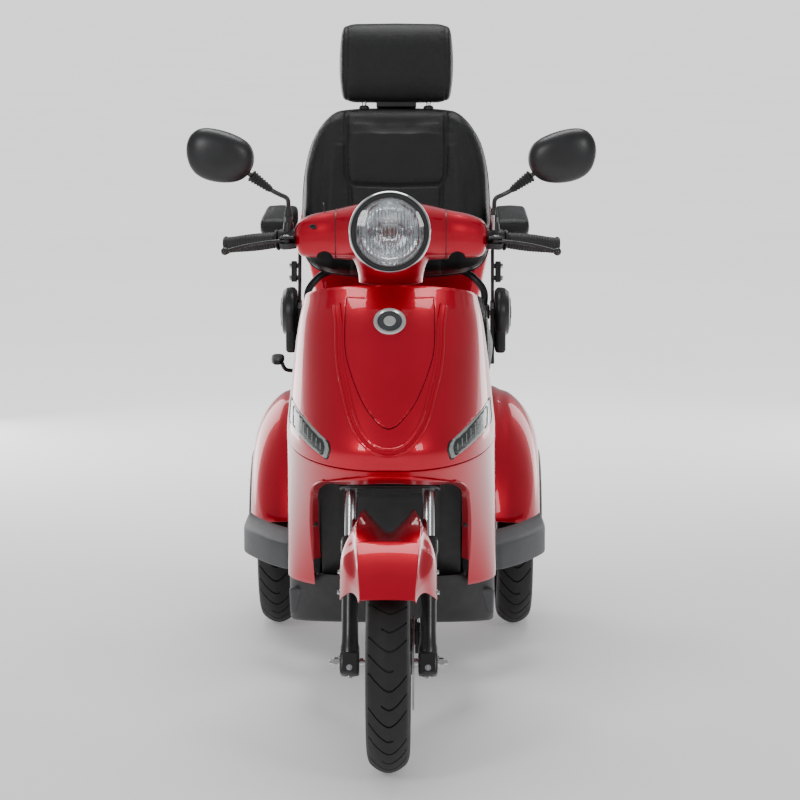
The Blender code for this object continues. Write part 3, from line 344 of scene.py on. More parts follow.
CASE = plain("battery_case", (0.03, 0.031, 0.034), (0.045, 0.046, 0.05), 0.5)
BULB = plain("bulb_shade", (0.2, 0.085, 0.075), (0.3, 0.13, 0.11), 0.35, 0.3)
BRASS = plain("copper_spring", (0.4, 0.13, 0.04), (0.52, 0.19, 0.07), 0.35, 0.7)


# ---------------------------------------------------------------- mesh helpers


def link(name, bm, material, smooth_angle=32.0):
    """Mesh object in the scene from a finished bmesh, smooth apart from edges sharper than the angle."""
    bmesh.ops.recalc_face_normals(bm, faces=bm.faces)
    mesh = bpy.data.meshes.new(name)
    bm.to_mesh(mesh)
    bm.free()
    mesh.shade_smooth()
    if smooth_angle:
        mesh.set_sharp_from_angle(angle=radians(smooth_angle))
    made = bpy.data.objects.new(name, mesh)
    bpy.context.scene.collection.objects.link(made)
    if material:
        mesh.materials.append(material)
    return made


def bridge(bm, low, high):
    """Faces between two closed rings of vertices; a ring may be one vertex repeated."""
    for k in range(len(low)):
        j = (k + 1) % len(low)
        bm.faces.new(list(dict.fromkeys((low[k], low[j], high[j], high[k]))))


def loft(name, loops, material=None, closed=False, smooth_angle=32.0):
    """Skin between closed loops of equal length, capped unless it closes on itself."""
    bm = bmesh.new()
    rings = [[bm.verts.new(point) for point in loop] for loop in loops]
    pairs = list(zip(rings, rings[1:]))
    if closed:
        pairs.append((rings[-1], rings[0]))
    for low, high in pairs:
        bridge(bm, low, high)
    if not closed:
        bm.faces.new(list(reversed(rings[0])))
        bm.faces.new(rings[-1])
    return link(name, bm, material, smooth_angle)


def sheet(name, rows, thickness, material=None, edge=0.0):
    """Open grid of points thickened inwards into a wall, with softened edges."""
    bm = bmesh.new()
    grid = [[bm.verts.new(point) for point in row] for row in rows]
    for low, high in zip(grid, grid[1:]):
        for i in range(len(low) - 1):
            bm.faces.new((low[i], low[i + 1], high[i + 1], high[i]))
    mesh = bpy.data.meshes.new(name)
    bm.to_mesh(mesh)
    bm.free()
    mesh.shade_smooth()
    made = bpy.data.objects.new(name, mesh)
    bpy.context.scene.collection.objects.link(made)
    solid = made.modifiers.new("wall", "SOLIDIFY")
    solid.thickness = thickness
    solid.offset = -1.0
    if edge:
        soften(made, edge)
    if material:
        mesh.materials.append(material)
    return made


def frame_of(axis):
    """Two unit vectors square to an axis."""
    axis = axis.normalized()
    helper = Z_AXIS if abs(axis.z) < 0.9 else Y_AXIS
    side = helper.cross(axis).normalized()
    return side, axis.cross(side)


def bent(value, power):
    """Sine or cosine raised to a power with its sign kept: it squares a circle up or pinches it."""
    return copysign(abs(value) ** power, value)


def circle(centre, side, top, radius, count):
    """Points around a centre in the plane of two unit vectors."""
    turns = [tau * k / count for k in range(count)]
    return [centre + (side * cos(turn) + top * sin(turn)) * radius for turn in turns]


def puck(radius, low, high, bore=0.0):
    """Profile of a plain disc, or of a plain ring where it has a bore."""
    return [(bore, low), (radius, low), (radius, high), (bore, high)]


def mm(*points):
    """Points given in millimetres, in metres."""
    return [tuple(value / 1000 for value in point) for point in points]


def turned(name, profile, origin, axis, material=None, sides=64, smooth_angle=32.0):
    """Solid of revolution from (radius, height) points; closed on itself unless it meets the axis."""
    axis = axis.normalized()
    side, top = frame_of(axis)
    bm = bmesh.new()
    rings = []
    for radius, height in profile:
        centre = origin + axis * height
        if radius == 0.0:
            rings.append([bm.verts.new(centre)] * sides)
            continue
        rings.append([bm.verts.new(spot) for spot in circle(centre, side, top, radius, sides)])
    pairs = list(zip(rings, rings[1:]))
    if profile[0][0] > 0.0:
        pairs.append((rings[-1], rings[0]))
    for low, high in pairs:
        bridge(bm, low, high)
    return link(name, bm, material, smooth_angle)


def rod(name, start, end, radius, material=None, sides=32, edge=0.0008):
    """Round bar with softened ends."""
    axis = end - start
    length = axis.length
    edge = min(edge, radius * 0.4, length * 0.4)
    profile = [(0.0, 0.0), (radius - edge, 0.0), (radius, edge), (radius, length - edge),
        (radius - edge, length), (0.0, length)]
    return turned(name, profile, start, axis, material, sides)


def spline(a, b, c, d, t):
    """Catmull-Rom value between b and c."""
    return 0.5 * (2 * b + (c - a) * t + (2 * a - 5 * b + 4 * c - d) * t * t
        + (3 * b - a - 3 * c + d) * t ** 3)


def smooth_path(points, steps=8):
    """Catmull-Rom curve through the given points."""
    pts = [Vector(p) for p in points]
    pts = [2 * pts[0] - pts[1]] + pts + [2 * pts[-1] - pts[-2]]
    path = []
    for a, b, c, d in zip(pts, pts[1:], pts[2:], pts[3:]):
        path += [spline(a, b, c, d, k / steps) for k in range(steps)]
    path.append(pts[-2])
    return path


def pipe(name, points, radius, material=None, sides=20, radii=None, flat=1.0):
    """Tube swept along a path; radii scales it from point to point, flat squeezes it in height."""
    pts = [Vector(p) for p in points]
    loops = []
    side = None
    for i, point in enumerate(pts):
        ahead = (pts[min(i + 1, len(pts) - 1)] - pts[max(i - 1, 0)]).normalized()
        if side is None:
            side = frame_of(ahead)[0]
        side = (side - ahead * side.dot(ahead)).normalized()
        top = ahead.cross(side)
        size = radius * (radii(i / (len(pts) - 1)) if radii else 1.0)
        loops.append(circle(point, side, top * flat, size, sides))
    return loft(name, loops, material)


def slab(name, corner, opposite, material=None, edge=0.0, segments=3):
    """Box between any two opposite corners, with rounded edges."""
    low, high = (Vector([pick(pair) for pair in zip(corner, opposite)]) for pick in (min, max))
    bm = bmesh.new()
    bmesh.ops.create_cube(bm, size=1.0)
    for vert in bm.verts:
        vert.co = Vector([(a + b) / 2 + c * (b - a) for a, b, c in zip(low, high, vert.co)])
    made = link(name, bm, material)
    if edge:
        soften(made, edge, segments)
    return made


def prism(name, outline, low, high, material=None, edge=0.0, segments=3):
    """Side outline of (y, z) points extruded across X."""
    made = loft(name, [[Vector((x, y, z)) for y, z in outline] for x in (low, high)], material)
    if edge:
        soften(made, edge, segments)
    return made


def soften(made, width, segments=2, angle=30.0):
    """Bevel the edges that are sharper than an angle."""
    bevel = made.modifiers.new("edge", "BEVEL")
    bevel.width = width
    bevel.segments = segments
    bevel.limit_method = "ANGLE"
    bevel.angle_limit = radians(angle)
    bevel.harden_normals = False
    return made


def apply_all(made):
    """Turn an object's modifiers into its mesh."""
    graph = bpy.context.evaluated_depsgraph_get()
    mesh = bpy.data.meshes.new_from_object(made.evaluated_get(graph), depsgraph=graph)
    old = made.data
    made.modifiers.clear()
    made.data = mesh
    bpy.data.meshes.remove(old)
    return made


def boolean(made, tools, operation="DIFFERENCE"):
    """Cut tools from an object or join them to it, and remove the tools."""
    for tool in tools:
        step = made.modifiers.new(tool.name, "BOOLEAN")
        step.operation = operation
        step.solver = "EXACT"
        step.object = tool
        step.material_mode = "TRANSFER"
    apply_all(made)
    for tool in tools:
        bpy.data.objects.remove(tool)
    return made


def join(made, *others):
    """Several meshes as one piece."""
    bm = bmesh.new()
    materials = []
    for item in (made, *others):
        apply_all(item)
        start = len(bm.faces)
        bm.from_mesh(item.data)
        bm.faces.ensure_lookup_table()
        names = [slot.name for slot in item.data.materials]
        for face in bm.faces[start:]:
            name = names[face.material_index] if names else None
            if name not in materials:
                materials.append(name)
            face.material_index = materials.index(name)
    mesh = bpy.data.meshes.new(made.name)
    bm.to_mesh(mesh)
    bm.free()
    for name in materials:
        mesh.materials.append(bpy.data.materials.get(name) if name else None)
    made.data = mesh
    for item in others:
        bpy.data.objects.remove(item)
    return made


def between(table, t, smooth=True):
    """Value read from a short table of (place, value) pairs, eased between them."""
    if t <= table[0][0]:
        return table[0][1]
    for (t0, v0), (t1, v1) in zip(table, table[1:]):
        if t <= t1:
            s = (t - t0) / (t1 - t0)
            if smooth:
                s = s * s * (3 - 2 * s)
            return v0 + (v1 - v0) * s
    return table[-1][1]


def arc(centre, radius, start_deg, end_deg, steps):
    """Points along a circular arc, ends included."""
    turns = [radians(start_deg + (end_deg - start_deg) * k / steps) for k in range(steps + 1)]
    return [(centre[0] + radius * cos(turn), centre[1] + radius * sin(turn)) for turn in turns]


def both(half):
    """Outline carried on past its last point, which lies on the middle line, to the mirrored side."""
    return half + [(-x, up) for x, up in reversed(half[:-1])]


def mirrored(point, side):
    """A point on the left, carried over to either side."""
    return Vector((point[0] * side, point[1], point[2]))


def settle(made, spot, lean=0.0):
    """Turn a part about X and move it to its place."""
    made.data.transform(Matrix.Translation(spot) @ Matrix.Rotation(lean, 4, "X"))
    return made


def place(made, body, slot=None, replaces=()):
    """Fix a finished piece to its CAD body."""
    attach(made, body)
    if replaces:
        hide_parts(*replaces)
    return made


# ---------------------------------------------------------------- wheels

TREAD_PITCHES = 18
GROOVE_DEPTH = 0.004
GROOVE_WIDTH = 0.003
GROOVE_WALL = 0.0007
SHOULDER_AT = 0.042
SWEEP = 0.04
TYRE_SECTION = ((0.1335, 0.03), (0.1365, 0.0345), (0.148, 0.04), (0.162, 0.0415), (0.176, 0.0405),
    (0.189, 0.036), (0.1985, 0.0265), (0.2055, 0.014), (WHEEL_RADIUS, 0.0))


def tyre_curve():
    """Cross-section as (distance along it from the crown, across, radius), from bead to bead."""
    half = [Vector((0.0, across, radius)) for radius, across in TYRE_SECTION]
    whole = [Vector((0.0, -p.y, p.z)) for p in half] + list(reversed(half[:-1]))
    path = smooth_path(whole, 8)
    crown = len(path) // 2
    run = [0.0]
    for a, b in zip(path, path[1:]):
        run.append(run[-1] + (b - a).length)
    return [(length - run[crown], p.y, p.z) for length, p in zip(run, path)]


def tyre_columns():
    """Places across the section, from shoulder to shoulder and down the walls."""
    half = [0.0, 0.003, 0.006, 0.009, 0.012, 0.0155, 0.0195, 0.024, 0.029, 0.034, 0.038, SHOULDER_AT - 0.001,
        SHOULDER_AT, 0.045, 0.05, 0.056, 0.062, 0.068, 0.074, 0.08]
    return [-v for v in reversed(half[1:])] + half


def build_tyre(node, centre, body):
    """Tyre with swept chevron grooves; every second one reaches only from a shoulder past the middle."""
    curve = tyre_curve()
    end = curve[-1][0]
    pitch = tau * WHEEL_RADIUS / TREAD_PITCHES
    cut = GROOVE_WIDTH + 2 * GROOVE_WALL
    steps = []
    for start, kind in ((0.0, 1), (pitch / 2, 2)):
        rest = pitch / 2 - cut
        steps += [(start, 0), (start + GROOVE_WALL, kind), (start + GROOVE_WALL + GROOVE_WIDTH, kind)]
        steps += [(start + cut + rest * k / 4, 0) for k in range(4)]
    loops = []
    for tile in range(TREAD_PITCHES):
        for offset, groove in steps:
            loop = []
            for v in tyre_columns():
                v = max(-end, min(end, v))
                reach = min(abs(v - 0.004), SHOULDER_AT)
                along = tile * pitch + offset + SWEEP * (hypot(reach, 0.01) - 0.01) / SHOULDER_AT
                across = between([(a, b) for a, b, _ in curve], v, False)
                radius = between([(a, c) for a, _, c in curve], v, False)
                flip = 1.0 if tile % 2 else -1.0
                open_here = groove == 1 or (groove == 2 and v * flip > -0.01)
                depth = GROOVE_DEPTH if open_here and abs(v) < SHOULDER_AT else 0.0
                share = min(1.0, abs(v) / SHOULDER_AT) ** 2
                radius -= depth * (1.0 - 0.45 * share)
                across -= copysign(depth * 0.6 * share, v)
                turn = along / WHEEL_RADIUS
                loop.append(centre + Vector((across, -radius * cos(turn), radius * sin(turn))))
            loops.append(loop)
    made = loft(node + "_tread", loops, TYRE, closed=True, smooth_angle=38.0)
    return place(made, body, "tyre_rubber", (node,))


def build_rim(node, centre, body, hub_half, bore):
    """Cast wheel: drop-centre barrel, five ribbed spokes and a bolted hub."""
    half = mm((132.5, 30), (132.5, 34.5), (129, 35.2), (125.5, 34.5), (122.5, 29), (118, 15), (116.5, 6))
    profile = [(r, -x) for r, x in half] + list(reversed(half))
    made = turned(node + "_wheel", profile, centre, X_AXIS, ALLOY, 96)
    half = [(bore, hub_half), (0.022, hub_half), (0.024, hub_half - 0.002), (0.026, 0.02), (0.03, 0.015)]
    hub = turned("hub", half + [(r, -x) for r, x in reversed(half)], centre, X_AXIS, ALLOY, 64)
    parts = [hub]
    for k in range(5):
        out = Matrix.Rotation(tau * k / 5 + pi / 2, 3, "X") @ Y_AXIS
        side = X_AXIS.cross(out)
        loops = []
        for radius, wide, thick in ((0.024, 0.02, 0.0125), (0.04, 0.015, 0.012), (0.062, 0.0115, 0.011),
                (0.086, 0.011, 0.0102), (0.104, 0.0145, 0.01), (0.119, 0.022, 0.01)):
            loop = []
            for i in range(24):
                turn = tau * i / 24
                c, s = cos(turn), sin(turn)
                a = bent(c, 0.55) * wide
                b = bent(s, 0.55) * thick * (0.74 + 0.26 * min(1.0, abs(c) * 1.6))
                loop.append(centre + out * radius + side * a + X_AXIS * b)
            loops.append(loop)
        parts.append(loft("spoke", loops, ALLOY))
    for side in (-1.0, 1.0):
        for k in range(5):
            turn = tau * (k + 0.5) / 5
            seat = centre + Vector((side * 0.0195, cos(turn) * 0.0225, sin(turn) * 0.0225))
            parts.append(turned("hub_bolt", mm((0, 0), (4.2, 0), (4.2, 4), (3.4, 5), (0, 5)), seat,
                X_AXIS * side, STEEL, 6))
    stem = centre + Vector((0.008, 0.115 * cos(0.9), 0.115 * sin(0.9)))
    inward = (centre - stem).normalized()
    inward.x = 0.0
    parts.append(turned("valve", mm((0, -4), (4.5, -4), (4.5, 4), (2.8, 7), (2.8, 19), (4, 20), (4, 28),
        (0, 28)), stem, inward, BLACK, 20))
    return place(join(made, *parts), body, "cast_alloy", (node,))


def build_wheels():
    """Three wheels, the rear hub caps and the drilled front brake disc."""
    build_tyre("front_tyre", FRONT_AXLE, "front_wheel")
    build_rim("front_rim", FRONT_AXLE, "front_wheel", 0.0445, 0.0066)
    for label, side in SIDES:
        hub = REAR_AXLE + X_AXIS * side * REAR_TRACK / 2
        build_tyre("rear_tyre_" + label, hub, "rear_wheel_" + label)
        build_rim("rear_rim_" + label, hub, "rear_wheel_" + label, 0.03, 0.0126)
        cap = turned("hub_cap_" + label, mm((12.6, 30), (20, 30.2), (19.5, 33), (17, 36), (12.6, 36.2)), hub,
            X_AXIS * side, BLACK, 48)
        place(cap, "rear_wheel_" + label, "black_plastic")

    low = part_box("brake_disc")[0].x
    profile = [(0.066, low), (0.066, low + 0.003), (0.09, low + 0.003), (0.09, low)]
    disc = turned("brake_disc_ring", profile, FRONT_AXLE, X_AXIS, DISC, 96)
    carrier = turned("disc_carrier",
        [(0.018, low), (0.018, low + 0.0029), (0.036, low + 0.0029), (0.036, low)],
        FRONT_AXLE, X_AXIS, ALLOY, 64)
    holes = bmesh.new()
    for ring, (radius, count) in enumerate(((0.072, 18), (0.078, 18), (0.084, 18))):
        for k in range(count):
            turn = tau * (k + ring / 3) / count
            spot = Matrix.Translation(FRONT_AXLE
                + Vector((low + 0.0015, radius * cos(turn), radius * sin(turn))))
            bmesh.ops.create_cone(holes, cap_ends=True, segments=14, radius1=0.0024, radius2=0.0024,
                depth=0.012, matrix=spot @ Matrix.Rotation(pi / 2, 4, "Y"))
    disc = boolean(disc, [link("disc_holes", holes, None)])
    arms = []
    for k in range(6):
        turn = tau * k / 6
        out = Vector((0.0, cos(turn), sin(turn)))
        side = X_AXIS.cross(out)
        loops = []
        for radius, wide, lean in ((0.033, 0.007, -0.004), (0.05, 0.0045, 0.0), (0.068, 0.006, 0.006)):
            mid = FRONT_AXLE + X_AXIS * (low + 0.0015) + out * radius + side * lean
            loops.append([mid + side * a * wide + X_AXIS * b * 0.0013
                for a, b in ((-1, -1), (1, -1), (1, 1), (-1, 1))])
        arms.append(loft("disc_arm", loops, ALLOY))
    place(join(disc, carrier, *arms), "front_wheel", "steel", ("brake_disc",))


# ---------------------------------------------------------------- fork


def hex_bolt(name, at, axis, radius, height, material=None):
    """Hexagon head on a washer, standing off a surface."""
    head = turned(name, [(0.0, 0.0), (radius, 0.0), (radius, height * 0.8), (radius * 0.86, height),
        (0.0, height)], at + axis.normalized() * 0.001, axis, material or STEEL, 6)
    washer = turned(name + "_washer", puck(radius * 1.35, 0.0, 0.0012), at, axis, material or STEEL, 32)
    return join(head, washer)


def build_fork():
    """Telescopic fork: sliders with clamps and seals, the axle, and the crown with its stanchions."""
    for label, side in SIDES:
        foot = on_fork(FORK_LEG_X * side, 0.0, 0.0)
        profile = mm((0, -26), (12, -26), (16.5, -23.5), (18.8, -18), (19, 18), (18.6, 29), (16.8, 38),
            (16, 60), (16.3, 150), (17, 210), (18.8, 215), (19, 218), (19, 236), (18.2, 237.8), (13.6, 237.8),
            (13.6, 220), (0, 220))
        leg = turned("fork_slider_" + label, profile, foot, STEER_UP, COAT, 64)
        clamp = settle(slab("axle_clamp", (-0.0185, -0.02, -0.024), (0.0185, 0.02, 0.02), COAT, 0.005), foot,
            -FORK_LEAN)
        seal = turned("dust_seal", mm((13.7, 234), (18.7, 238.2), (18, 242), (16, 245), (14, 246.2),
            (13.7, 246.2)), foot, STEER_UP, GRIP, 48)
        rings = [turned("seal_ring", [(0.0189, h), (0.0194, h + 0.0006), (0.0194, h + 0.0018),
            (0.0189, h + 0.0024)], foot, STEER_UP, COAT, 64) for h in (0.2195, 0.2265)]
        bolt = hex_bolt("pinch_bolt", foot + STEER_BACK * -0.02 + STEER_UP * -0.012, STEER_BACK * -1.0,
            0.0042, 0.0045)
        drain = hex_bolt("fork_foot_bolt", foot + STEER_UP * -0.0262, STEER_UP * -1.0, 0.005, 0.003)
        lug = settle(slab("fender_lug", (-0.006, -0.0215, 0.15), (0.006, -0.014, 0.176), COAT, 0.002), foot,
            -FORK_LEAN)
        place(join(leg, clamp, seal, bolt, drain, lug, *rings), "fork_lower", "black_metal",
            ("fork_leg_" + label,))

    nut_x = FORK_LEG_X + 0.0194
    axle = rod("wheel_axle", FRONT_AXLE - X_AXIS * (nut_x + 0.019), FRONT_AXLE + X_AXIS * (nut_x + 0.019),
        0.006, STEEL)
    parts = []
    for side in (-1.0, 1.0):
        parts.append(turned("axle_nut", mm((6.1, 1.8), (10.8, 1.8), (10.8, 10), (9.4, 11.5), (6.1, 11.5)),
            FRONT_AXLE + X_AXIS * side * nut_x, X_AXIS * side, STEEL, 6))
        parts.append(turned("axle_washer", puck(0.0138, 0.0, 0.0018, 0.0061),
            FRONT_AXLE + X_AXIS * side * nut_x, X_AXIS * side, STEEL, 40))
        parts.append(turned("axle_spacer", puck(0.009, 0.0485, 0.0555, 0.0061), FRONT_AXLE, X_AXIS * side,
            STEEL, 40))
    place(join(axle, *parts), "fork_lower", "steel", ("front_axle",))

    stem = rod("steering_stem", on_fork(0, FORK_OFFSET, 0.35), on_fork(0, FORK_OFFSET, 0.832), 0.016, COAT,
        48)
    outline = arc((FORK_LEG_X, 0.0), 0.024, -90, 90, 20) + [(0.045, 0.034), (0.034, 0.05), (-0.034, 0.05),
        (-0.045, 0.034)]
    outline += arc((-FORK_LEG_X, 0.0), 0.024, 90, 270, 20) + [(-0.045, -0.018), (0.045, -0.018)]
    plate = loft("lower_yoke", [[on_fork(x, back, up) for x, back in outline] for up in (0.338, 0.372)], COAT)
    soften(plate, 0.004, 3)
    parts = [plate]
    for label, side in SIDES:
        parts.append(rod("stanchion_" + label, on_fork(FORK_LEG_X * side, 0.0, 0.105),
            on_fork(FORK_LEG_X * side, 0.0, 0.378), 0.0125, TUBE, 48))
        parts.append(hex_bolt("yoke_bolt", on_fork(FORK_LEG_X * side * 0.66, -0.019, 0.355),
            STEER_BACK * -1.0, 0.0045, 0.005))
    parts.append(turned("stem_cone", mm((0, 0), (11.5, 0), (11.5, 4), (8.5, 12), (8.5, 20), (6, 26), (0, 27)),
        on_fork(0.0, -0.014, 0.372), STEER_UP, STEEL, 32))
    spring = [on_fork(0.028 + 0.006 * cos(k * 0.8), 0.002 + 0.006 * sin(k * 0.8), 0.373 + 0.0006 * k)
        for k in range(48)]
    parts.append(pipe("lock_spring", spring, 0.0014, BRASS, 8))
    place(join(stem, *parts), "steering", "black_metal", ("fork_crown",))


FENDER_STATIONS = (
    # degrees round the wheel, half width, crown and crease radius, then three (x, radius) down the wing
    (42.0, 0.0505, 0.256, 0.2535, 0.0518, 0.2505, 0.0526, 0.2465, 0.053, 0.242),
    (47.0, 0.0515, 0.259, 0.2555, 0.054, 0.25, 0.0562, 0.242, 0.0578, 0.231),
    (54.0, 0.054, 0.264, 0.2595, 0.0585, 0.25, 0.066, 0.232, 0.069, 0.207),
    (60.0, 0.056, 0.268, 0.263, 0.061, 0.252, 0.078, 0.228, 0.083, 0.176),
    (66.0, 0.058, 0.2715, 0.2665, 0.0635, 0.254, 0.085, 0.228, 0.0905, 0.154),
    (70.0, 0.059, 0.273, 0.2695, 0.0645, 0.256, 0.087, 0.23, 0.092, 0.145),
    (71.5, 0.0592, 0.2715, 0.2705, 0.0648, 0.2563, 0.0873, 0.2303, 0.0922, 0.144),
    (75.0, 0.06, 0.264, 0.2745, 0.0655, 0.257, 0.088, 0.231, 0.0925, 0.142),
    (80.0, 0.0608, 0.258, 0.279, 0.066, 0.261, 0.084, 0.239, 0.0895, 0.168),
    (85.0, 0.059, 0.254, 0.283, 0.0652, 0.266, 0.0775, 0.248, 0.082, 0.202),
    (89.0, 0.056, 0.252, 0.287, 0.0625, 0.272, 0.0715, 0.256, 0.0755, 0.222),
    (95.0, 0.0515, 0.2505, 0.2915, 0.058, 0.28, 0.0635, 0.265, 0.0665, 0.243),
    (103.0, 0.0465, 0.25, 0.293, 0.053, 0.285, 0.057, 0.27, 0.0585, 0.25),
    (112.0, 0.0445, 0.2495, 0.284, 0.05, 0.273, 0.0535, 0.26, 0.055, 0.245),
    (125.0, 0.0435, 0.248, 0.264, 0.0485, 0.256, 0.0515, 0.247, 0.053, 0.235),
    (150.0, 0.0425, 0.243, 0.248, 0.047, 0.243, 0.0495, 0.237, 0.051, 0.227),
)


def round_wheel(x, radius, degrees):
    """Point round the front wheel; 0 degrees is straight ahead and 90 is the top."""
    turn = radians(degrees)
    return FRONT_AXLE + Vector((x, -radius * cos(turn), radius * sin(turn)))


def build_fender():
    """Painted mudguard: a creased face with side wings, and a valley between two horns behind its crest."""
    rows = []
    for degrees, face, crown, crease, x1, r1, x2, r2, x3, r3 in eased(FENDER_STATIONS, 7):
        share = 0.3 if crease < crown else 0.46
        middle = crown + (crease - crown) * share
        top = smooth_path([Vector((-face, crease, 0.0)), Vector((-0.55 * face, middle, 0.0)),
            Vector((0.0, crown, 0.0)), Vector((0.55 * face, middle, 0.0)), Vector((face, crease, 0.0))], 8)
        wing = smooth_path([Vector((x, r, 0.0)) for x, r in ((face, crease), (x1, r1), (x2, r2), (x3, r3))],
            8)
        section = [Vector((-p.x, p.y, 0.0)) for p in reversed(wing[1:])] + top + wing[1:]
        rows.append([round_wheel(p.x, p.y, degrees) for p in section])
    fender = sheet("front_fender_skin", rows, 0.003, RED)
    soften(fender, 0.0007, 2, 40.0)
    place(fender, "fork_lower", "body_red", ("front_fender",))
    for label, side in SIDES:
        for degrees, radius, x in ((74.0, 0.199, 0.0905), (71.0, 0.16, 0.0918)):
            place(hex_bolt("fender_bolt_%s_%d" % (label, degrees), round_wheel(side * x, radius, degrees),
                X_AXIS * side, 0.0042, 0.0036), "fork_lower", "steel")


def build_caliper():
    """Brake caliper over the disc, with piston caps, bolts and a bleed nipple."""
    inner, outer = (corner.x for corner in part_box("brake_caliper"))
    centre = FRONT_AXLE + Vector((0.0, 0.086, 0.03))
    body = slab("caliper_body", (inner, -0.0215, -0.0275), (outer, 0.0215, 0.0275), COAT, 0.0045, 4)
    slot = slab("disc_slot", (0.0445, -0.06, -0.06), (0.0498, 0.012, 0.06))
    body = boolean(body, [slot])
    parts = []
    for z in (-0.0145, 0.0145):
        parts.append(turned("piston_cap", mm((0, 0), (10, 0), (10, 1.2), (8, 2), (7.2, 0.8), (0, 0.8)),
            Vector((outer - 0.0012, 0.0, z)), X_AXIS, ALLOY, 32))
        parts.append(hex_bolt("caliper_bolt", Vector((outer - 0.001, 0.0165, z * 1.25)), X_AXIS, 0.0036,
            0.0016))
    parts.append(turned("bleed_nipple", mm((0, 0), (3.4, 0), (3.4, 4), (2.2, 6), (2.2, 11), (0, 11)),
        Vector((outer - 0.009, 0.008, 0.027)), Z_AXIS, STEEL, 16))
    whole = settle(join(body, *parts), centre, 0.34)
    place(whole, "fork_lower", "black_metal", ("brake_caliper",))


# ---------------------------------------------------------------- front panels


def nose_row(front, side_y, half, front_z, side_z, count, power=2.3):
    """One sweep across the nose from the right edge over the front to the left edge."""
    row = []
    for k in range(count + 1):
        s = sin(radians(-90.0 + 180.0 * k / count))
        bulge = (1 - abs(s) ** power) ** (1 / power)
        row.append(Vector((half * s, side_y + (front - side_y) * bulge, side_z + (front_z - side_z) * bulge)))
    return row


SHIELD_STATIONS = (
    # front y, side y, half width, front z, side z
    (-0.44, -0.33, 0.168, 0.905, 0.87),
    (-0.505, -0.33, 0.179, 0.858, 0.825),
    (-0.562, -0.325, 0.188, 0.795, 0.765),
    (-0.612, -0.318, 0.195, 0.73, 0.705),
    (-0.652, -0.308, 0.201, 0.67, 0.655),
    (-0.678, -0.3, 0.205, 0.62, 0.622),
    (-0.672, -0.296, 0.206, 0.585, 0.6),
)
FAIRING_STATIONS = ((-0.67, -0.2955, 0.2058, 0.583, 0.5985), (-0.61, -0.27, 0.207, 0.52, 0.54),
    (-0.53, -0.245, 0.209, 0.45, 0.46), (-0.44, -0.225, 0.211, 0.37, 0.375),
    (-0.345, -0.212, 0.212, 0.28, 0.28))


def eased(stations, steps):
    """Stations of numbers made dense with a Catmull-Rom curve."""
    dense = []
    ends = [tuple(2 * a - b for a, b in zip(stations[0], stations[1]))]
    far = [tuple(2 * a - b for a, b in zip(stations[-1], stations[-2]))]
    stations = ends + list(stations) + far
    for a, b, c, d in zip(stations, stations[1:], stations[2:], stations[3:]):
        dense += [tuple(spline(*four, k / steps) for four in zip(a, b, c, d)) for k in range(steps)]
    dense.append(stations[-2])
    return dense


def nose_skin(name, stations, steps, count, material, thickness=0.004):
    """Front panel: a wall swept across the nose, through eased stations."""
    return sheet(name, [nose_row(*station, count) for station in eased(stations, steps)], thickness, material)


def tree_of(made):
    """Search tree of a finished skin, modifiers included."""
    graph = bpy.context.evaluated_depsgraph_get()
    graph.update()
    return BVHTree.FromObject(made, graph)


def on_skin(tree, x, z, lift=0.0):
    """Point of a front panel seen straight from the front at (x, z), raised along its normal."""
    hit, normal, _, _ = tree.ray_cast(Vector((x, -1.2, z)), Y_AXIS)
    if normal.y > 0:
        normal = -normal
    return hit + normal * lift, normal


def ribbon(name, tree, points, section, material, closed=False):
    """Strip of constant cross-section laid along a panel: section is (across, lift) points."""
    spots = [on_skin(tree, x, z) for x, z in points]
    loops = []
    last = len(spots) - 1
    for i, (spot, normal) in enumerate(spots):
        before = spots[i - 1][0] if (i or closed) else spot
        after = spots[(i + 1) % len(spots)][0] if (i < last or closed) else spot
        ahead = (after - before).normalized()
        side = normal.cross(ahead).normalized()
        loops.append([spot + side * across + normal * lift for across, lift in section])
    return loft(name, loops, material, closed=closed)


def flat_path(points, steps=8):
    """Smooth curve through points seen from the front."""
    return [(p.x, p.z) for p in smooth_path([Vector((x, 0.0, z)) for x, z in points], steps)]


def panel_outline(grow):
    """Egg-shaped outline of the centre panel: straight top, narrow round foot."""
    half = flat_path(mm((86, 885), (87.5, 850), (86, 797), (75.5, 759), (59, 721), (45, 698), (32.5, 683),
        (15, 666), (0, 660)), 6)
    middle, share = 0.79, 1.0 + grow / 0.086
    half = [(x * share, z if z > middle else middle + (z - middle) * share) for x, z in half]
    half[-1] = (0.0, half[-1][1])
    return [(-half[0][0], half[0][1])] + half + [(-x, z) for x, z in reversed(half[1:-1])]


LAMP_KITE = mm((197, 684), (201, 640), (117, 596.5), (110.5, 618), (113.5, 631))


def kite(side, grow, corner=0.004, steps=5):
    """Rounded kite outline of a position lamp, grown or shrunk about its middle."""
    middle = Vector((0.157, 0.634))
    points = [Vector(p) + (Vector(p) - middle).normalized() * grow for p in LAMP_KITE]
    outline = []
    for i, point in enumerate(points):
        before, after = points[i - 1], points[(i + 1) % len(points)]
        start = point + (before - point).normalized() * corner
        end = point + (after - point).normalized() * corner
        for k in range(steps + 1):
            t = k / steps
            outline.append((start * (1 - t) ** 2 + point * 2 * t * (1 - t) + end * t * t))
    return [(p.x * side, p.y) for p in outline]


def through(name, outline, front=-0.85, back=-0.25):
    """Cutter with a front-view outline, extruded backwards through a panel."""
    return loft(name, [[Vector((x, y, z)) for x, z in outline] for y in (front, back)])


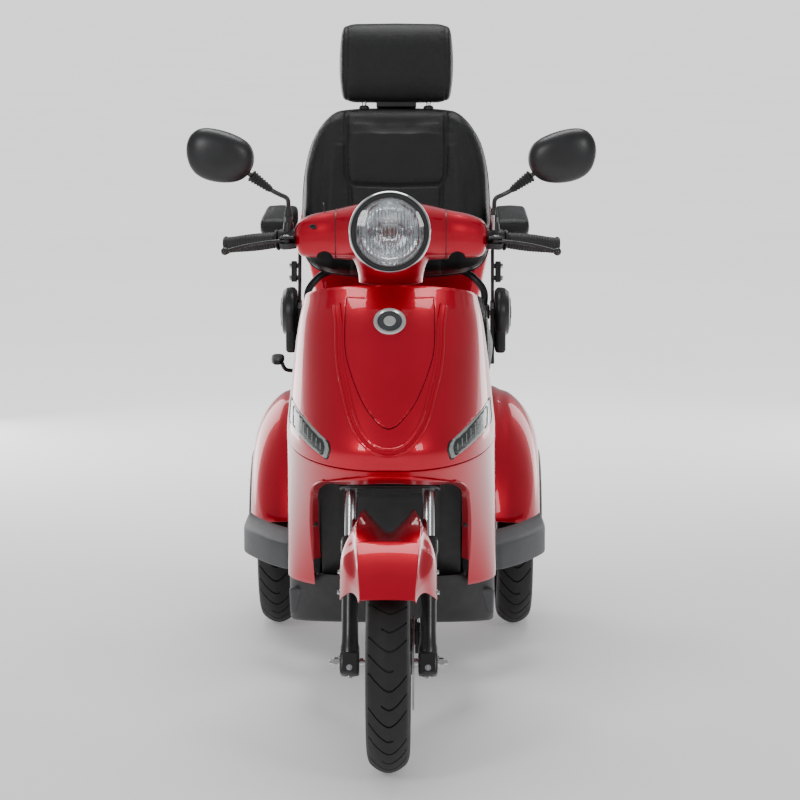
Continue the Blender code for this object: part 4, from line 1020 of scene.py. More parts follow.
def build_shield():
    """Upper front panel with its centre panel, raised rib, plain badge and position lamps."""
    shield = nose_skin("front_shield_skin", SHIELD_STATIONS, 8, 96, RED)
    tree = tree_of(shield)
    openings = [through("lamp_opening", kite(side, 0.0006)) for _, side in SIDES]
    boolean(shield, [through("panel_opening", panel_outline(0.0), -0.85, -0.4), *openings])
    soften(shield, 0.0009, 2)
    place(shield, "root", "body_red", ("front_shield",))

    panel = nose_skin("shield_panel_skin", SHIELD_STATIONS, 8, 96, RED)
    boolean(panel, [through("panel_keep", panel_outline(-0.0014), -0.85, -0.405)], "INTERSECT")
    soften(panel, 0.0009, 2)
    place(panel, "root", "body_red", ("shield_panel",))
    behind = [(front + 0.0065, side_y + 0.006, half - 0.006, *heights)
        for front, side_y, half, *heights in SHIELD_STATIONS[1:6]]
    backing = nose_skin("panel_backing", behind, 4, 48, BLACK, 0.002)
    place(backing, "root", "black_plastic")

    # raised U-shaped rib around the centre panel: two rounded ridges with a groove between them
    section = [(-0.0095, -0.0015)]
    for middle in (-0.0058, 0.0058):
        section += [(middle - 0.0034, 0.0002), (middle - 0.0026, 0.0022), (middle - 0.0012, 0.0032),
            (middle + 0.0008, 0.0033), (middle + 0.0022, 0.0024), (middle + 0.003, 0.0008)]
    section += [(0.0095, -0.0015)]
    half = mm((104, 872), (99, 840), (97.2, 797), (92.5, 760), (84, 728), (71.5, 685), (56, 653), (37, 632),
        (18, 622.5), (0, 620))
    route = flat_path(both([(-x, z) for x, z in half]), 10)
    place(ribbon("shield_rib", tree, route, section, RED), "root", "body_red")

    # plain round badge with a raised ring
    spot, normal = on_skin(tree, 0.0, 0.847, 0.0005)
    ring = turned("badge_ring", mm((24, -2), (30, -2), (31.5, 1.2), (30, 3.4), (26.5, 3.6), (24, 2)), spot,
        normal, SILVER, 72)
    face = turned("badge_face", mm((0, -2), (24.3, -2), (24.3, 1.4), (16, 2.2), (0, 2.5)), spot, normal,
        BADGE, 72)
    boss = turned("badge_boss", mm((0, 2), (12, 2.2), (11.2, 3.4), (0, 3.8)), spot, normal, SILVER, 48)
    place(join(ring, face, boss), "root", "trim_chrome")

    for label, side in SIDES:
        build_position_lamp(label, side, tree)


def build_position_lamp(label, side, tree):
    """Kite-shaped lamp: thin black rim, pale cover and a darker ribbed field towards the middle."""
    skin = nose_skin("position_lamp_skin_" + label, SHIELD_STATIONS, 8, 96, PALE, 0.0046)
    lens = boolean(skin, [through("lamp_keep", kite(side, -0.0006))], "INTERSECT")
    soften(lens, 0.0008, 2)
    field = nose_skin("lamp_field", SHIELD_STATIONS, 8, 96, SMOKE, 0.0054)
    boolean(field, [through("field_keep", kite(side, -0.0125, 0.003))], "INTERSECT")
    parts = [field]
    section = mm((-1.7, -1), (-1.4, 1.3), (0, 1.7), (1.4, 1.3), (1.7, -1))
    parts.append(ribbon("lamp_rim", tree, kite(side, -0.0014), section, BLACK, closed=True))
    section = mm((-1.4, -1), (-0.8, 2.4), (0.8, 2.4), (1.4, -1))
    parts.append(ribbon("lamp_bevel", tree, kite(side, -0.0125, 0.003), section, SMOKE, closed=True))
    for k in range(5):
        x = 0.1295 + 0.0085 * k
        low, high = 0.6155 + 0.55 * (x - 0.1295), 0.627 + 0.8 * (x - 0.1295)
        route = [(x * side, low + (high - low) * j / 6) for j in range(7)]
        section = mm((-1.2, -1), (-0.7, 2.2), (0.7, 2.2), (1.2, -1))
        parts.append(ribbon("lamp_rib", tree, route, section, PALE))
    place(join(lens, *parts), "root", "smoked_lens", ("position_lamp_" + label,))


def arch_outline(grow=0.0):
    """Opening over the front wheel, seen from the front."""
    half = [(0.142 + grow, 0.2), (0.146 + grow, 0.4), (0.144 + grow, 0.47)]
    half += [(x + grow * 0.8, z + grow * 0.6) for x, z in arc((0.1, 0.5), 0.043, 0, 75, 10)]
    half += [(0.06, 0.5515 + grow), (0.0, 0.556 + grow)]
    return both(half)


def build_fairing():
    """Lower front panel with the wheel arch, its return flange and four screws."""
    fairing = nose_skin("lower_fairing_skin", FAIRING_STATIONS, 10, 110, RED)
    tree = tree_of(fairing)
    boolean(fairing, [through("wheel_arch", arch_outline(0.0125))])
    soften(fairing, 0.001, 2)
    place(fairing, "root", "body_red", ("lower_fairing",))
    # return flange around the arch: it turns in from the outer edge and runs back towards the wheel
    outer = [p for p in flat_path(arch_outline(0.014), 3) if p[1] > 0.283]
    inner = flat_path(arch_outline(-0.0005), 3)
    skip = (len(inner) - len(outer)) // 2
    inner = inner[skip:skip + len(outer)]
    rows = []
    for (x, z), (inner_x, inner_z) in zip(outer, inner):
        edge, normal = on_skin(tree, x, z)
        deep = Vector((inner_x, edge.y + 0.02, inner_z))
        row = [edge + normal * 0.0006]
        for t, bulge in ((0.04, 0.0016), (0.12, 0.0022), (0.3, 0.002), (0.55, 0.001), (0.8, 0.0), (1.0, 0.0)):
            row.append(edge.lerp(deep, t) + Vector((0.0, -bulge, 0.0)))
        rows.append(row)
    flange = sheet("arch_flange", rows, 0.0028, RED)
    soften(flange, 0.0007, 2, 50.0)
    place(flange, "root", "body_red")
    for label, side in SIDES:
        for z in (0.306, 0.428):
            edge, _ = on_skin(tree, side * 0.159, z)
            spot = edge + Vector((-0.0095 * side, 0.0092, 0.0))
            screw = turned("fairing_screw_%s_%d" % (label, z * 1000),
                mm((0, -2), (5.8, -2), (5.8, 1), (4.6, 2.2), (2, 2.6), (1.8, 1.2), (0, 1.2)), spot,
                Vector((-0.78 * side, -0.62, 0.0)), BLACK, 28)
            place(screw, "root", "black_plastic")


def build_inner_panel():
    """Grey plastic wall behind the front wheel, darkened with painted shade, with a recessed centre field."""
    rows = []
    for k in range(33):
        t = k / 32
        z = 0.262 + t * 0.276
        half = 0.141 - 0.02 * max(0.0, (t - 0.86) / 0.14) ** 2
        row = []
        for i in range(-24, 25):
            s = i / 24
            x = half * s
            y = between(((0.0, -0.272), (0.26, -0.317), (1.0, -0.423)), t, False)
            inside = between(((0.0, 1.0), (0.62, 1.0), (0.7, 0.0)), abs(s))
            inside *= between(((0.1, 0.0), (0.16, 1.0), (0.84, 1.0), (0.92, 0.0)), t)
            row.append(Vector((x, y - 0.004 + 0.008 * inside - 0.006 * abs(s) ** 6, z)))
        rows.append(row)
    # grey plastic drawn dark as painted shade inside the wheel cavity
    place(sheet("inner_wall_panel", rows, -0.003, SHADED_GREY, 0.0008), "root", "grey_plastic")


# ---------------------------------------------------------------- handlebar, lamp, controls

BAR_RADIUS = 0.011
BAR_MIDDLE = on_fork(0.0, FORK_OFFSET, 0.858)
GRIP_START = mirrored(joint_point("throttle_twist"), -1.0)
GRIP_AXIS = mirrored(joint_axis("throttle_twist"), -1.0)
LAMP_FACE = Vector((0.0, -0.49, 1.017))
LAMP_AXIS = Vector((0.0, -cos(radians(6.0)), sin(radians(6.0))))
KEY_FACE = joint_point("key_turn")
KEY_AXIS = joint_axis("key_turn")
MIRROR_JOINT = joint_point("mirror_left_tilt")
MIRROR_AXIS = joint_axis("mirror_left_tilt")


def along_grip(side, distance, forward=0.0, up=0.0):
    """Point beside the straight end of the bar."""
    point = GRIP_START + GRIP_AXIS * distance
    return Vector((point.x * side, point.y - forward, point.z + up))


def bar_route():
    """Middle line of the handlebar, from the right end to the left end."""
    half = [along_grip(1.0, 0.145), along_grip(1.0, -0.004), Vector((0.15, BAR_MIDDLE.y - 0.011, 0.9868)),
        Vector((0.08, BAR_MIDDLE.y - 0.004, 0.985))]
    return [mirrored(p, -1.0) for p in half] + [BAR_MIDDLE] + list(reversed(half))


def blob(name, pieces, voxel, smooth, material):
    """Several solids melted into one moulding with soft joints."""
    whole = join(*pieces)
    whole.name = name
    remesh = whole.modifiers.new("melt", "REMESH")
    remesh.mode = "VOXEL"
    remesh.voxel_size = voxel
    relax = whole.modifiers.new("relax", "SMOOTH")
    relax.factor = 0.5
    relax.iterations = smooth
    apply_all(whole)
    whole.data.materials.clear()
    whole.data.materials.append(material)
    whole.data.shade_smooth()
    return whole


def rounded(x, y, z, half_y, half_z, power=2.6, count=64):
    """Upright superellipse section in the plane of constant x."""
    loop = []
    for k in range(count):
        c, s = cos(tau * k / count), sin(tau * k / count)
        loop.append(Vector((x, y + half_y * bent(c, 2 / power), z + half_z * bent(s, 2 / power))))
    return loop


def build_nacelle():
    """Painted cover round the headlight and the middle of the handlebar."""
    stations = ((-0.192, -0.311, 0.992, 0.016, 0.016), (-0.186, -0.312, 0.989, 0.029, 0.03),
        (-0.176, -0.314, 0.989, 0.036, 0.038), (-0.15, -0.32, 0.993, 0.042, 0.044),
        (-0.11, -0.33, 0.997, 0.05, 0.049), (-0.06, -0.35, 1.003, 0.072, 0.056),
        (0.0, -0.36, 1.005, 0.083, 0.061))
    stations += tuple((-x, y, z, a, b) for x, y, z, a, b in reversed(stations[:-1]))
    cover = loft("cover", [rounded(*station) for station in eased(stations, 5)], RED)
    profile = mm((0, -105), (40, -102), (56, -84), (67, -58), (74.5, -28), (76.5, 0), (74.5, 3), (0, 3))
    bucket = turned("lamp_bucket", profile, LAMP_FACE, LAMP_AXIS, RED, 96)
    loops = []
    for z, half, front, rear in ((0.9045, 0.063, -0.418, -0.318), (0.918, 0.064, -0.421, -0.306),
            (0.935, 0.068, -0.427, -0.298), (0.965, 0.08, -0.44, -0.29), (1.0, 0.085, -0.43, -0.3)):
        mid, deep = (front + rear) / 2, (rear - front) / 2
        loops.append([Vector((half * cos(tau * k / 64), mid + deep * sin(tau * k / 64), z))
            for k in range(64)])
    neck = loft("neck", loops, RED)
    cover = blob("headlight_nacelle_skin", [cover, bucket, neck], 0.0024, 7, RED)

    tools = [pipe("bar_room", bar_route(), BAR_RADIUS + 0.002, None, 32),
        rod("stem_room", on_fork(0, FORK_OFFSET, 0.7), on_fork(0, FORK_OFFSET, 0.872), 0.021, None, 48),
        rod("key_room", KEY_FACE - KEY_AXIS * 0.028, KEY_FACE + KEY_AXIS * 0.03, 0.0108, None, 40),
        rod("lamp_room", LAMP_FACE - LAMP_AXIS * 0.052, LAMP_FACE + LAMP_AXIS * 0.012, 0.069, None, 96)]
    for _, side in SIDES:
        tools.append(rod("wing_recess", Vector((0.131 * side, -0.42, 0.95)),
            Vector((0.131 * side, -0.29, 0.947)), 0.0175, None, 48))
    boolean(cover, tools)
    soften(cover, 0.0007, 1, 50.0)
    place(cover, "steering", "body_red", ("headlight_nacelle",))

    for label, side in SIDES:
        # shut line where the wing's end cap meets the cover, and a small blank
        ring = [Vector((p.x * side, p.y, p.z))
            for p in rounded(0.109, -0.3303, 0.997, 0.0507, 0.0497, 2.6, 72)]
        loops = []
        for point in ring:
            out = (point - Vector((0.109 * side, -0.3303, 0.997))).normalized()
            loops.append([point + X_AXIS * a + out * b
                for a, b in ((-0.0012, -0.003), (-0.0009, 0.0002), (0.0009, 0.0002), (0.0012, -0.003))])
        place(loft("wing_joint_" + label, loops, BLACK, closed=True), "steering", "black_plastic")
    blank = turned("wing_blank", mm((0, -4), (7.5, -4), (8.8, 0), (8, 1.2), (6, 1.4), (5.2, 0.4), (0, 0.4)),
        Vector((0.0, 0.0, 0.0)), Vector((0.0, -1.0, 0.35)), BLACK, 40)
    blank.data.transform(Matrix.Translation(Vector((-0.153, -0.3595, 1.0145)))
        @ Matrix.Diagonal((1.0, 1.0, 0.55, 1.0)))
    place(blank, "steering", "black_plastic")


def build_lamp():
    """Headlight: chrome bezel, gasket, fluted glass, reflector bowl and shaded bulb."""
    bezel = turned("lamp_bezel_ring", mm((74.5, -4), (77.5, -4), (78.5, 0), (79.5, 6), (79.5, 10), (78.6, 14),
        (77, 16), (75.4, 16), (74.2, 14), (73.8, 4)), LAMP_FACE, LAMP_AXIS, CHROME, 128, 50.0)
    place(bezel, "steering", "trim_chrome", ("headlight_bezel",))
    gasket = turned("lamp_gasket", mm((67.2, 2), (74.2, 2), (74.2, 12.8), (72.5, 14.2), (69, 14),
        (67.2, 12.6)), LAMP_FACE, LAMP_AXIS, GRIP, 112)
    place(gasket, "steering", "black_plastic")

    side, top = frame_of(LAMP_AXIS)
    lens_radius, lens_front, lens_back = 0.0673, 0.0225, 0.0195
    bm = bmesh.new()
    count, rings = 192, 44
    layers = []
    for front in (True, False):
        grid = [[bm.verts.new(LAMP_FACE + LAMP_AXIS * (lens_front if front else lens_back))] * count]
        for ring in range(1, rings + 1):
            radius = lens_radius * ring / rings
            row = []
            for k in range(count):
                turn = tau * k / count
                point = side * cos(turn) * radius + top * sin(turn) * radius
                lift = (lens_front if front else lens_back) - 0.0105 * (radius / lens_radius) ** 2.4
                if not front and radius < 0.065:
                    lift += 0.0012 * cos(tau * point.x / 0.0066)
                row.append(bm.verts.new(LAMP_FACE + point + LAMP_AXIS * lift))
            grid.append(row)
        layers.append(grid)
        for low, high in zip(grid, grid[1:]):
            bridge(bm, low, high)
    bridge(bm, layers[0][-1], layers[1][-1])
    lens = link("fluted_lens", bm, CLEAR, 60.0)
    place(lens, "steering", "clear_lens", ("headlight_lens",))

    bowl = mm((68.2, 8), (66, -4), (60, -18), (50, -31), (36, -41), (15, -47), (13, -47))
    inner = [(r - 0.0012, h + 0.0012) for r, h in bowl]
    place(turned("lamp_reflector", bowl + list(reversed(inner)), LAMP_FACE, LAMP_AXIS, REFLECTOR, 112),
        "steering")
    cap = turned("bulb_cap", mm((0, -20), (19, -20), (20.5, -6), (19.5, 1), (16.5, 3.4), (14, 3), (12.8, 1.6),
        (0, 1.6)), LAMP_FACE, LAMP_AXIS, CHROME, 64)
    disc = turned("bulb_disc", mm((0, 0), (10.4, 0), (10.8, 1.8), (9.6, 3.4), (0, 4.2)),
        LAMP_FACE + LAMP_AXIS * 0.0016, LAMP_AXIS, BULB, 48)
    arms = [pipe("bulb_arm", [LAMP_FACE + top * up * 0.018 - LAMP_AXIS * 0.01,
        LAMP_FACE + top * up * 0.052 - LAMP_AXIS * 0.026], 0.0012, CHROME, 10) for up in (-1.0, 1.0)]
    place(join(cap, disc, *arms), "steering", "trim_chrome")


def build_handlebar():
    """Bar with its clamp, ribbed grips and end caps."""
    bar = pipe("handlebar_tube", smooth_path(bar_route(), 6), BAR_RADIUS, COAT, 36)
    low = on_fork(0.0, FORK_OFFSET, 0.8325)
    clamp = turned("bar_clamp", mm((0, 0), (18.5, 0), (19.2, 2), (19.2, 34), (18, 36), (0, 36)), low,
        STEER_UP, COAT, 48)
    place(join(bar, clamp), "steering", "black_metal", ("handlebar",))

    for label, side, node, body in (("left", 1.0, "grip_left", "steering"),
            ("right", -1.0, "throttle_grip", "throttle")):
        axis = mirrored(GRIP_AXIS, side)
        profile = mm((11.6, 36.2), (18.5, 36.2), (20.5, 37.2), (21.2, 38.8), (20, 40.8), (16.5, 42.5),
            (15, 44))
        for k in range(17):
            at = 0.0455 + k * 0.0056
            swell = 0.016 + 0.0014 * sin(pi * min(1.0, k / 14.0))
            profile += [(swell - 0.0005, at), (swell + 0.0002, at + 0.0008), (swell + 0.0002, at + 0.004),
                (swell - 0.0005, at + 0.0048)]
        profile += mm((15.8, 141.5), (17.8, 143.5), (18.2, 146.5), (16.5, 149.2), (11.6, 150))
        made = turned("ribbed_grip_" + label, profile, along_grip(side, 0.0), axis, GRIP, 64)
        place(made, body, "grip_rubber", (node,))
        cap = turned("bar_end_" + label, mm((0, 145.5), (11.2, 145.5), (11.2, 150), (8.5, 151.2), (0, 151.2)),
            along_grip(side, 0.0), axis, BLACK, 40)
        place(cap, "steering", "black_plastic")


def build_controls():
    """Switch housings, brake levers, the indicator rod and the key."""
    for label, side in SIDES:
        axis = mirrored(GRIP_AXIS, side)
        shell = turned("switch_shell", [(BAR_RADIUS + 0.0004, -0.005), (0.017, -0.005), (0.0205, -0.002),
            (0.0212, 0.006), (0.0212, 0.027), (0.02, 0.0325), (0.0175, 0.034), (BAR_RADIUS + 0.0004, 0.034)],
            along_grip(side, 0.0), axis, BLACK, 64)
        perch_low = along_grip(side, 0.017, 0.046, -0.0095) - Vector((0.0145, 0.0, 0.0))
        perch_high = along_grip(side, 0.017, 0.012, 0.0095) + Vector((0.0145, 0.0, 0.0))
        perch = slab("perch", perch_low, perch_high, BLACK, 0.004, 3)
        mouth = slab("mouth", along_grip(side, 0.019, 0.064, -0.0048) - Vector((0.032, 0.0, 0.0)),
            along_grip(side, 0.019, 0.0215, 0.0048) + Vector((0.032, 0.0, 0.0)))
        boolean(perch, [mouth])
        boss = turned("mirror_boss", mm((0, 0), (12.5, 0), (11.8, 12), (10, 30), (9.2, 34), (0, 34)),
            along_grip(side, 0.016, 0.004), Z_AXIS, BLACK, 48)
        screw = turned("pivot_screw", mm((0, 0), (5.8, 0), (5.8, 1), (4.6, 2.2), (1.8, 2.4), (1.6, 1.2),
            (0, 1.2)), along_grip(side, 0.019, 0.034, 0.0094), Z_AXIS, STEEL, 32)
        ridge = turned("shell_ridge", mm((21.2, 13.8), (21.6, 14.2), (21.6, 15.4), (21.2, 15.8)),
            along_grip(side, 0.0), axis, BLACK, 64)
        parts = [perch, boss, screw, ridge]
        if side > 0:
            size = 0.0036
            for k, shade in enumerate((GREY, TAIL)):
                at = along_grip(side, 0.007 + 0.013 * k, -0.0185, 0.0085)
                parts.append(turned("switch_button", [(0.0, -0.003), (size, -0.003), (size, 0.003),
                    (size - 0.0008, 0.0042), (0.0, 0.0046)], at, Vector((0.0, 1.0, 0.45)), shade, 28))
        place(join(shell, *parts), "steering", "black_plastic", ("lever_bracket_" + label,))

        pivot = along_grip(side, 0.019, 0.034)
        steps = ((0.0, 0.0, 0.0), (0.02 * side, -0.0085, -0.0005), (0.04 * side, -0.0105, -0.002),
            (0.075 * side, -0.008, -0.008), (0.102 * side, -0.0095, -0.0145), (0.122 * side, -0.012, -0.02))
        route = [pivot + Vector(step) for step in steps]
        blade = pipe("lever_blade_" + label, smooth_path(route, 8), 0.0047, COAT, 28,
            lambda t: 1.25 - 0.45 * min(1.0, t * 3.0) + 0.1 * t, 0.82)
        ball = turned("lever_ball", [(0.0, -0.008)] + [(0.008 * cos(radians(a)), 0.008 * sin(radians(a)))
            for a in range(-80, 81, 10)] + [(0.0, 0.008)], route[-1], Z_AXIS, COAT, 40)
        hub = turned("lever_hub", mm((0, -4.1), (7.8, -4.1), (8.3, -3.4), (8.3, 3.4), (7.8, 4.1), (0, 4.1)),
            pivot, Z_AXIS, COAT, 40)
        place(join(blade, ball, hub), "lever_" + label, "black_metal", ("brake_lever_" + label,))

    # slim indicator rod beside the left mirror stem
    foot = along_grip(1.0, 0.0135, 0.02, 0.02)
    post = turned("indicator_rod", puck(0.003, 0.0, 0.03), foot, Z_AXIS, STEEL, 24)
    tip = turned("indicator_cap", mm((0, 30), (5.2, 30), (5.6, 32), (5.6, 40), (4.2, 42.5), (0, 43)), foot,
        Z_AXIS, BLACK, 32)
    place(join(post, tip), "steering", "steel")

    barrel = turned("key_barrel", mm((0, -26), (10.2, -26), (10.2, 1.5), (9.4, 3.4), (7, 4), (6.4, 2.8),
        (0, 2.8)), KEY_FACE, KEY_AXIS, CHROME, 48)
    bow = turned("key_bow", mm((4, -1.1), (9.2, -1.1), (9.8, -0.4), (9.8, 0.4), (9.2, 1.1), (4, 1.1)),
        Vector((0.0, 0.0, 0.0)), X_AXIS, BLACK, 36)
    settle(bow, KEY_FACE + KEY_AXIS * 0.0165)
    blade = slab("key_blade", (-0.0009, -0.003, 0.002), (0.0009, 0.003, 0.01), STEEL)
    blade.data.transform(Matrix.Translation(KEY_FACE)
        @ Z_AXIS.rotation_difference(KEY_AXIS).to_matrix().to_4x4())
    place(join(barrel, bow, blade), "key", "steel", ("key_switch",))


def build_mirrors():
    """Mirror stems with ribbed sleeves, and oval mirrors on ribbed boots."""
    for label, side in SIDES:
        base = along_grip(side, 0.016, 0.004, 0.0344)
        joint = mirrored(MIRROR_JOINT, side)
        elbow = Vector((0.23 * side, base.y - 0.004, 1.076))
        route = [base, base + Vector((0.0, 0.0, 0.026)), base + Vector((0.002 * side, -0.001, 0.046)),
            elbow + (base + Vector((0.002 * side, 0.0, 0.05)) - elbow) * 0.3, elbow + (joint - elbow) * 0.12,
            elbow + (joint - elbow) * 0.4, elbow + (joint - elbow) * 0.75, joint]
        stem = pipe("mirror_stem_" + label, smooth_path(route, 8), 0.0046, COAT, 28)
        ahead = (joint - elbow).normalized()
        reach = (joint - elbow).length
        profile = [(0.0, 0.18 * reach), (0.0058, 0.18 * reach), (0.0064, 0.2 * reach)]
        for k in range(7):
            at = (0.26 + 0.095 * k) * reach
            profile += [(0.0068 + 0.0006 * k, at), (0.0082 + 0.0007 * k, at + 0.0012),
                (0.0082 + 0.0007 * k, at + 0.003), (0.0068 + 0.0006 * k, at + 0.0042)]
        profile += [(0.0085, 0.9 * reach), (0.0, 0.9 * reach)]
        sleeve = turned("stem_sleeve", profile, elbow, ahead, GRIP, 40)
        nut = turned("stem_nut", mm((0, 0), (9.2, 0), (9.2, 10), (7.8, 11.8), (0, 11.8)), base, Z_AXIS, COAT,
            6)
        foot = turned("stem_boot", mm((0, 11), (8.2, 11), (7.6, 18), (6, 27), (4.8, 29), (0, 29)), base,
            Z_AXIS, GRIP, 40)
        place(join(stem, nut, foot, sleeve), "mirror_stem_" + label, "black_metal", ("mirror_arm_" + label,))

        start = mirrored(MIRROR_JOINT, side)
        axis = mirrored(MIRROR_AXIS, side)
        profile = [(0.0, -0.0005)]
        for k in range(9):
            at = -0.0005 + k * 0.0044
            radius = 0.0072 + 0.0052 * k / 8
            profile += [(radius, at), (radius + 0.0007, at + 0.001), (radius + 0.0007, at + 0.0028),
                (radius - 0.0004, at + 0.0036)]
        profile += [(0.0, 0.038)]
        boot = turned("mirror_boot", profile, start, axis, GRIP, 40)
        centre = Vector((0.3385 * side, -0.33, 1.152))
        tilt = radians(-12.0) * side
        lean = 0.3

        def oval_loop(depth, share, count=160):
            loop = []
            for k in range(count):
                turn = tau * k / count
                across = bent(cos(turn), 0.92) * 0.0655 * share
                high = bent(sin(turn), 0.92) * 0.0545 * share
                high *= 1.0 + 0.12 * across * side / 0.0655
                high += lean * across * side * share * (1.0 - (across / 0.0655) ** 2 * 0.55)
                loop.append(centre + Vector((across * cos(tilt) - high * sin(tilt), depth,
                    across * sin(tilt) + high * cos(tilt))))
            return loop

        loops = []
        for k in range(12):
            turn = radians(90.0 * k / 11)
            loops.append(oval_loop(-0.027 + 0.027 * (1 - cos(turn)), max(0.02, sin(turn) ** 0.72)))
        loops += [oval_loop(0.006, 1.0), oval_loop(0.012, 0.992), oval_loop(0.0138, 0.975),
            oval_loop(0.0138, 0.945), oval_loop(0.01, 0.935)]
        shell = loft("mirror_shell_back", loops, BLACK)
        glass = loft("mirror_glass_plate", [oval_loop(0.0101, 0.932), oval_loop(0.0118, 0.932),
            oval_loop(0.0124, 0.92)], MIRROR)
        place(join(shell, boot, glass), "mirror_head_" + label, "black_plastic", ("mirror_shell_" + label,))


# ---------------------------------------------------------------- upholstery


def closed_curve(points, steps):
    """Closed Catmull-Rom curve through 2-D points."""
    count = len(points)
    curve = []
    for i in range(count):
        a, b, c, d = (Vector(points[(i + k) % count]) for k in (-1, 0, 1, 2))
        curve += [spline(a, b, c, d, k / steps) for k in range(steps)]
    return curve


def inset(outline, amount):
    """A closed outline moved inwards by a set amount."""
    turn = sum(a.x * b.y - b.x * a.y for a, b in zip(outline, outline[1:] + outline[:1]))
    moved = []
    for i, point in enumerate(outline):
        ahead = (outline[(i + 1) % len(outline)] - outline[i - 1]).normalized()
        inward = Vector((-ahead.y, ahead.x)) * copysign(1.0, turn)
        moved.append(point + inward * amount)
    return moved


def stuff(made, voxel, cap, hold, pressure=3.0, calm=8):
    """Fill a sewn shell by cloth simulation: even mesh, inner pressure, capped swelling, one subdivision.

    hold says which points are glued to a board; the foam inside keeps the skin from sinking in."""
    even = made.modifiers.new("even", "REMESH")
    even.mode = "VOXEL"
    even.voxel_size = voxel
    apply_all(made)
    count = len(made.data.vertices)
    start = np.array([vert.co[:] for vert in made.data.vertices])
    outward = np.array([vert.normal[:] for vert in made.data.vertices])
    held = [i for i in range(count) if hold(Vector(start[i]))]
    made.vertex_groups.new(name="held").add(held, 1.0, "REPLACE")
    cloth = made.modifiers.new("fill", "CLOTH")
    cloth.settings.quality = 4
    cloth.settings.mass = 0.3
    cloth.settings.tension_stiffness = 15.0
    cloth.settings.compression_stiffness = 15.0
    cloth.settings.shear_stiffness = 8.0
    cloth.settings.bending_stiffness = 5.0
    cloth.settings.vertex_group_mass = "held"
    cloth.settings.use_pressure = True
    cloth.settings.uniform_pressure_force = pressure
    cloth.settings.effector_weights.gravity = 0.0
    cloth.collision_settings.use_collision = False
    scene = bpy.context.scene
    for step in range(1, 21):
        scene.frame_set(step)
    graph = bpy.context.evaluated_depsgraph_get()
    ends = np.array([vert.co[:] for vert in made.evaluated_get(graph).data.vertices])
    made.modifiers.clear()
    made.vertex_groups.clear()
    scene.frame_set(1)
    shift = ends - start
    shift -= outward * np.minimum((shift * outward).sum(axis=1), 0.0)[:, None]
    edges = np.array([edge.vertices[:] for edge in made.data.edges])
    share = np.bincount(edges.ravel(), minlength=count)[:, None]
    for _ in range(calm):
        around = np.zeros_like(shift)
        np.add.at(around, edges[:, 0], shift[edges[:, 1]])
        np.add.at(around, edges[:, 1], shift[edges[:, 0]])
        shift = 0.4 * shift + 0.6 * around / share
        shift[held] = 0.0
    length = np.linalg.norm(shift, axis=1)[:, None]
    shift *= np.minimum(1.0, cap / np.maximum(length, 1e-9))
    for vert, spot in zip(made.data.vertices, start + shift):
        vert.co = spot
    finer = made.modifiers.new("finer", "SUBSURF")
    finer.levels = finer.render_levels = 1
    apply_all(made)
    made.data.shade_smooth()
    return made


def press(made, depth):
    """Move the skin in along its normal by depth(point), for seams, channels and creases."""
    normals = [vert.normal.copy() for vert in made.data.vertices]
    for vert, normal in zip(made.data.vertices, normals):
        vert.co -= normal * depth(vert.co, normal)
    return made


def off_line(x, y, line):
    """Distance from a point to a polyline, and how far along it that is."""
    best, along, run = 1e9, 0.0, 0.0
    spot = Vector((x, y))
    for a, b in zip(line, line[1:]):
        a, b = Vector(a), Vector(b)
        span = b - a
        t = max(0.0, min(1.0, (spot - a).dot(span) / span.length_squared))
        away = (a + span * t - spot).length
        if away < best:
            best, along = away, run + span.length * t
        run += span.length
    return best, along


def seam_depth(x, y, lines, groove=0.0042, width=0.0036, dish=0.0024, spread=0.012, pucker=0.0004):
    """Sewn channel: a narrow groove in a wider dip, with small puckers that fade away from the thread."""
    depth = 0.0
    for line in lines:
        away, along = off_line(x, y, line)
        if away < 0.05:
            depth = max(depth, groove * exp(-(away / width) ** 2) + dish * exp(-(away / spread) ** 2)
                + pucker * sin(tau * along / 0.017 + 3.0 * sin(along * 41.0))
                * exp(-((away - 0.008) / 0.007) ** 2))
    return depth


def stitches(name, tree, lines, origin, aim, step=0.0052, length=0.0034, sideways=0.0036, body="seat"):
    """Rows of thread either side of a seam: origin(x, y) starts a ray that aim points at the leather."""
    bm = bmesh.new()
    for line in lines:
        path = [Vector(p) for p in line]
        run = 0.0
        total = sum((b - a).length for a, b in zip(path, path[1:]))
        while run < total - length:
            ends = []
            for at in (run, run + length):
                left = at
                for a, b in zip(path, path[1:]):
                    span = (b - a).length
                    if left <= span or b is path[-1]:
                        ahead = (b - a).normalized()
                        ends.append((a + ahead * left, Vector((-ahead.y, ahead.x))))
                        break
                    left -= span
            for flip in (-1.0, 1.0):
                spots = []
                for point, across in ends:
                    spot = point + across * sideways * flip
                    hit, normal, _, _ = tree.ray_cast(origin(spot.x, spot.y), aim)
                    if hit is not None:
                        spots.append((hit, normal if normal.dot(aim) < 0 else -normal))
                if len(spots) == 2:
                    (a, na), (b, nb) = spots
                    middle = (a + b) / 2 + (na + nb) * 0.00035
                    ahead = (b - a).normalized()
                    side = ahead.cross(na).normalized()
                    rings = []
                    for centre, radius in ((a - na * 0.0003, 0.0003), (middle, 0.00048),
                            (b - nb * 0.0003, 0.0003)):
                        rings.append([bm.verts.new(point) for point in circle(centre, side, na, radius, 6)])
                    for low, high in zip(rings, rings[1:]):
                        bridge(bm, low, high)
                    bm.faces.new(list(reversed(rings[0])))
                    bm.faces.new(rings[-1])
            run += step
    return place(link(name, bm, THREAD, 0.0), body, "black_leather")


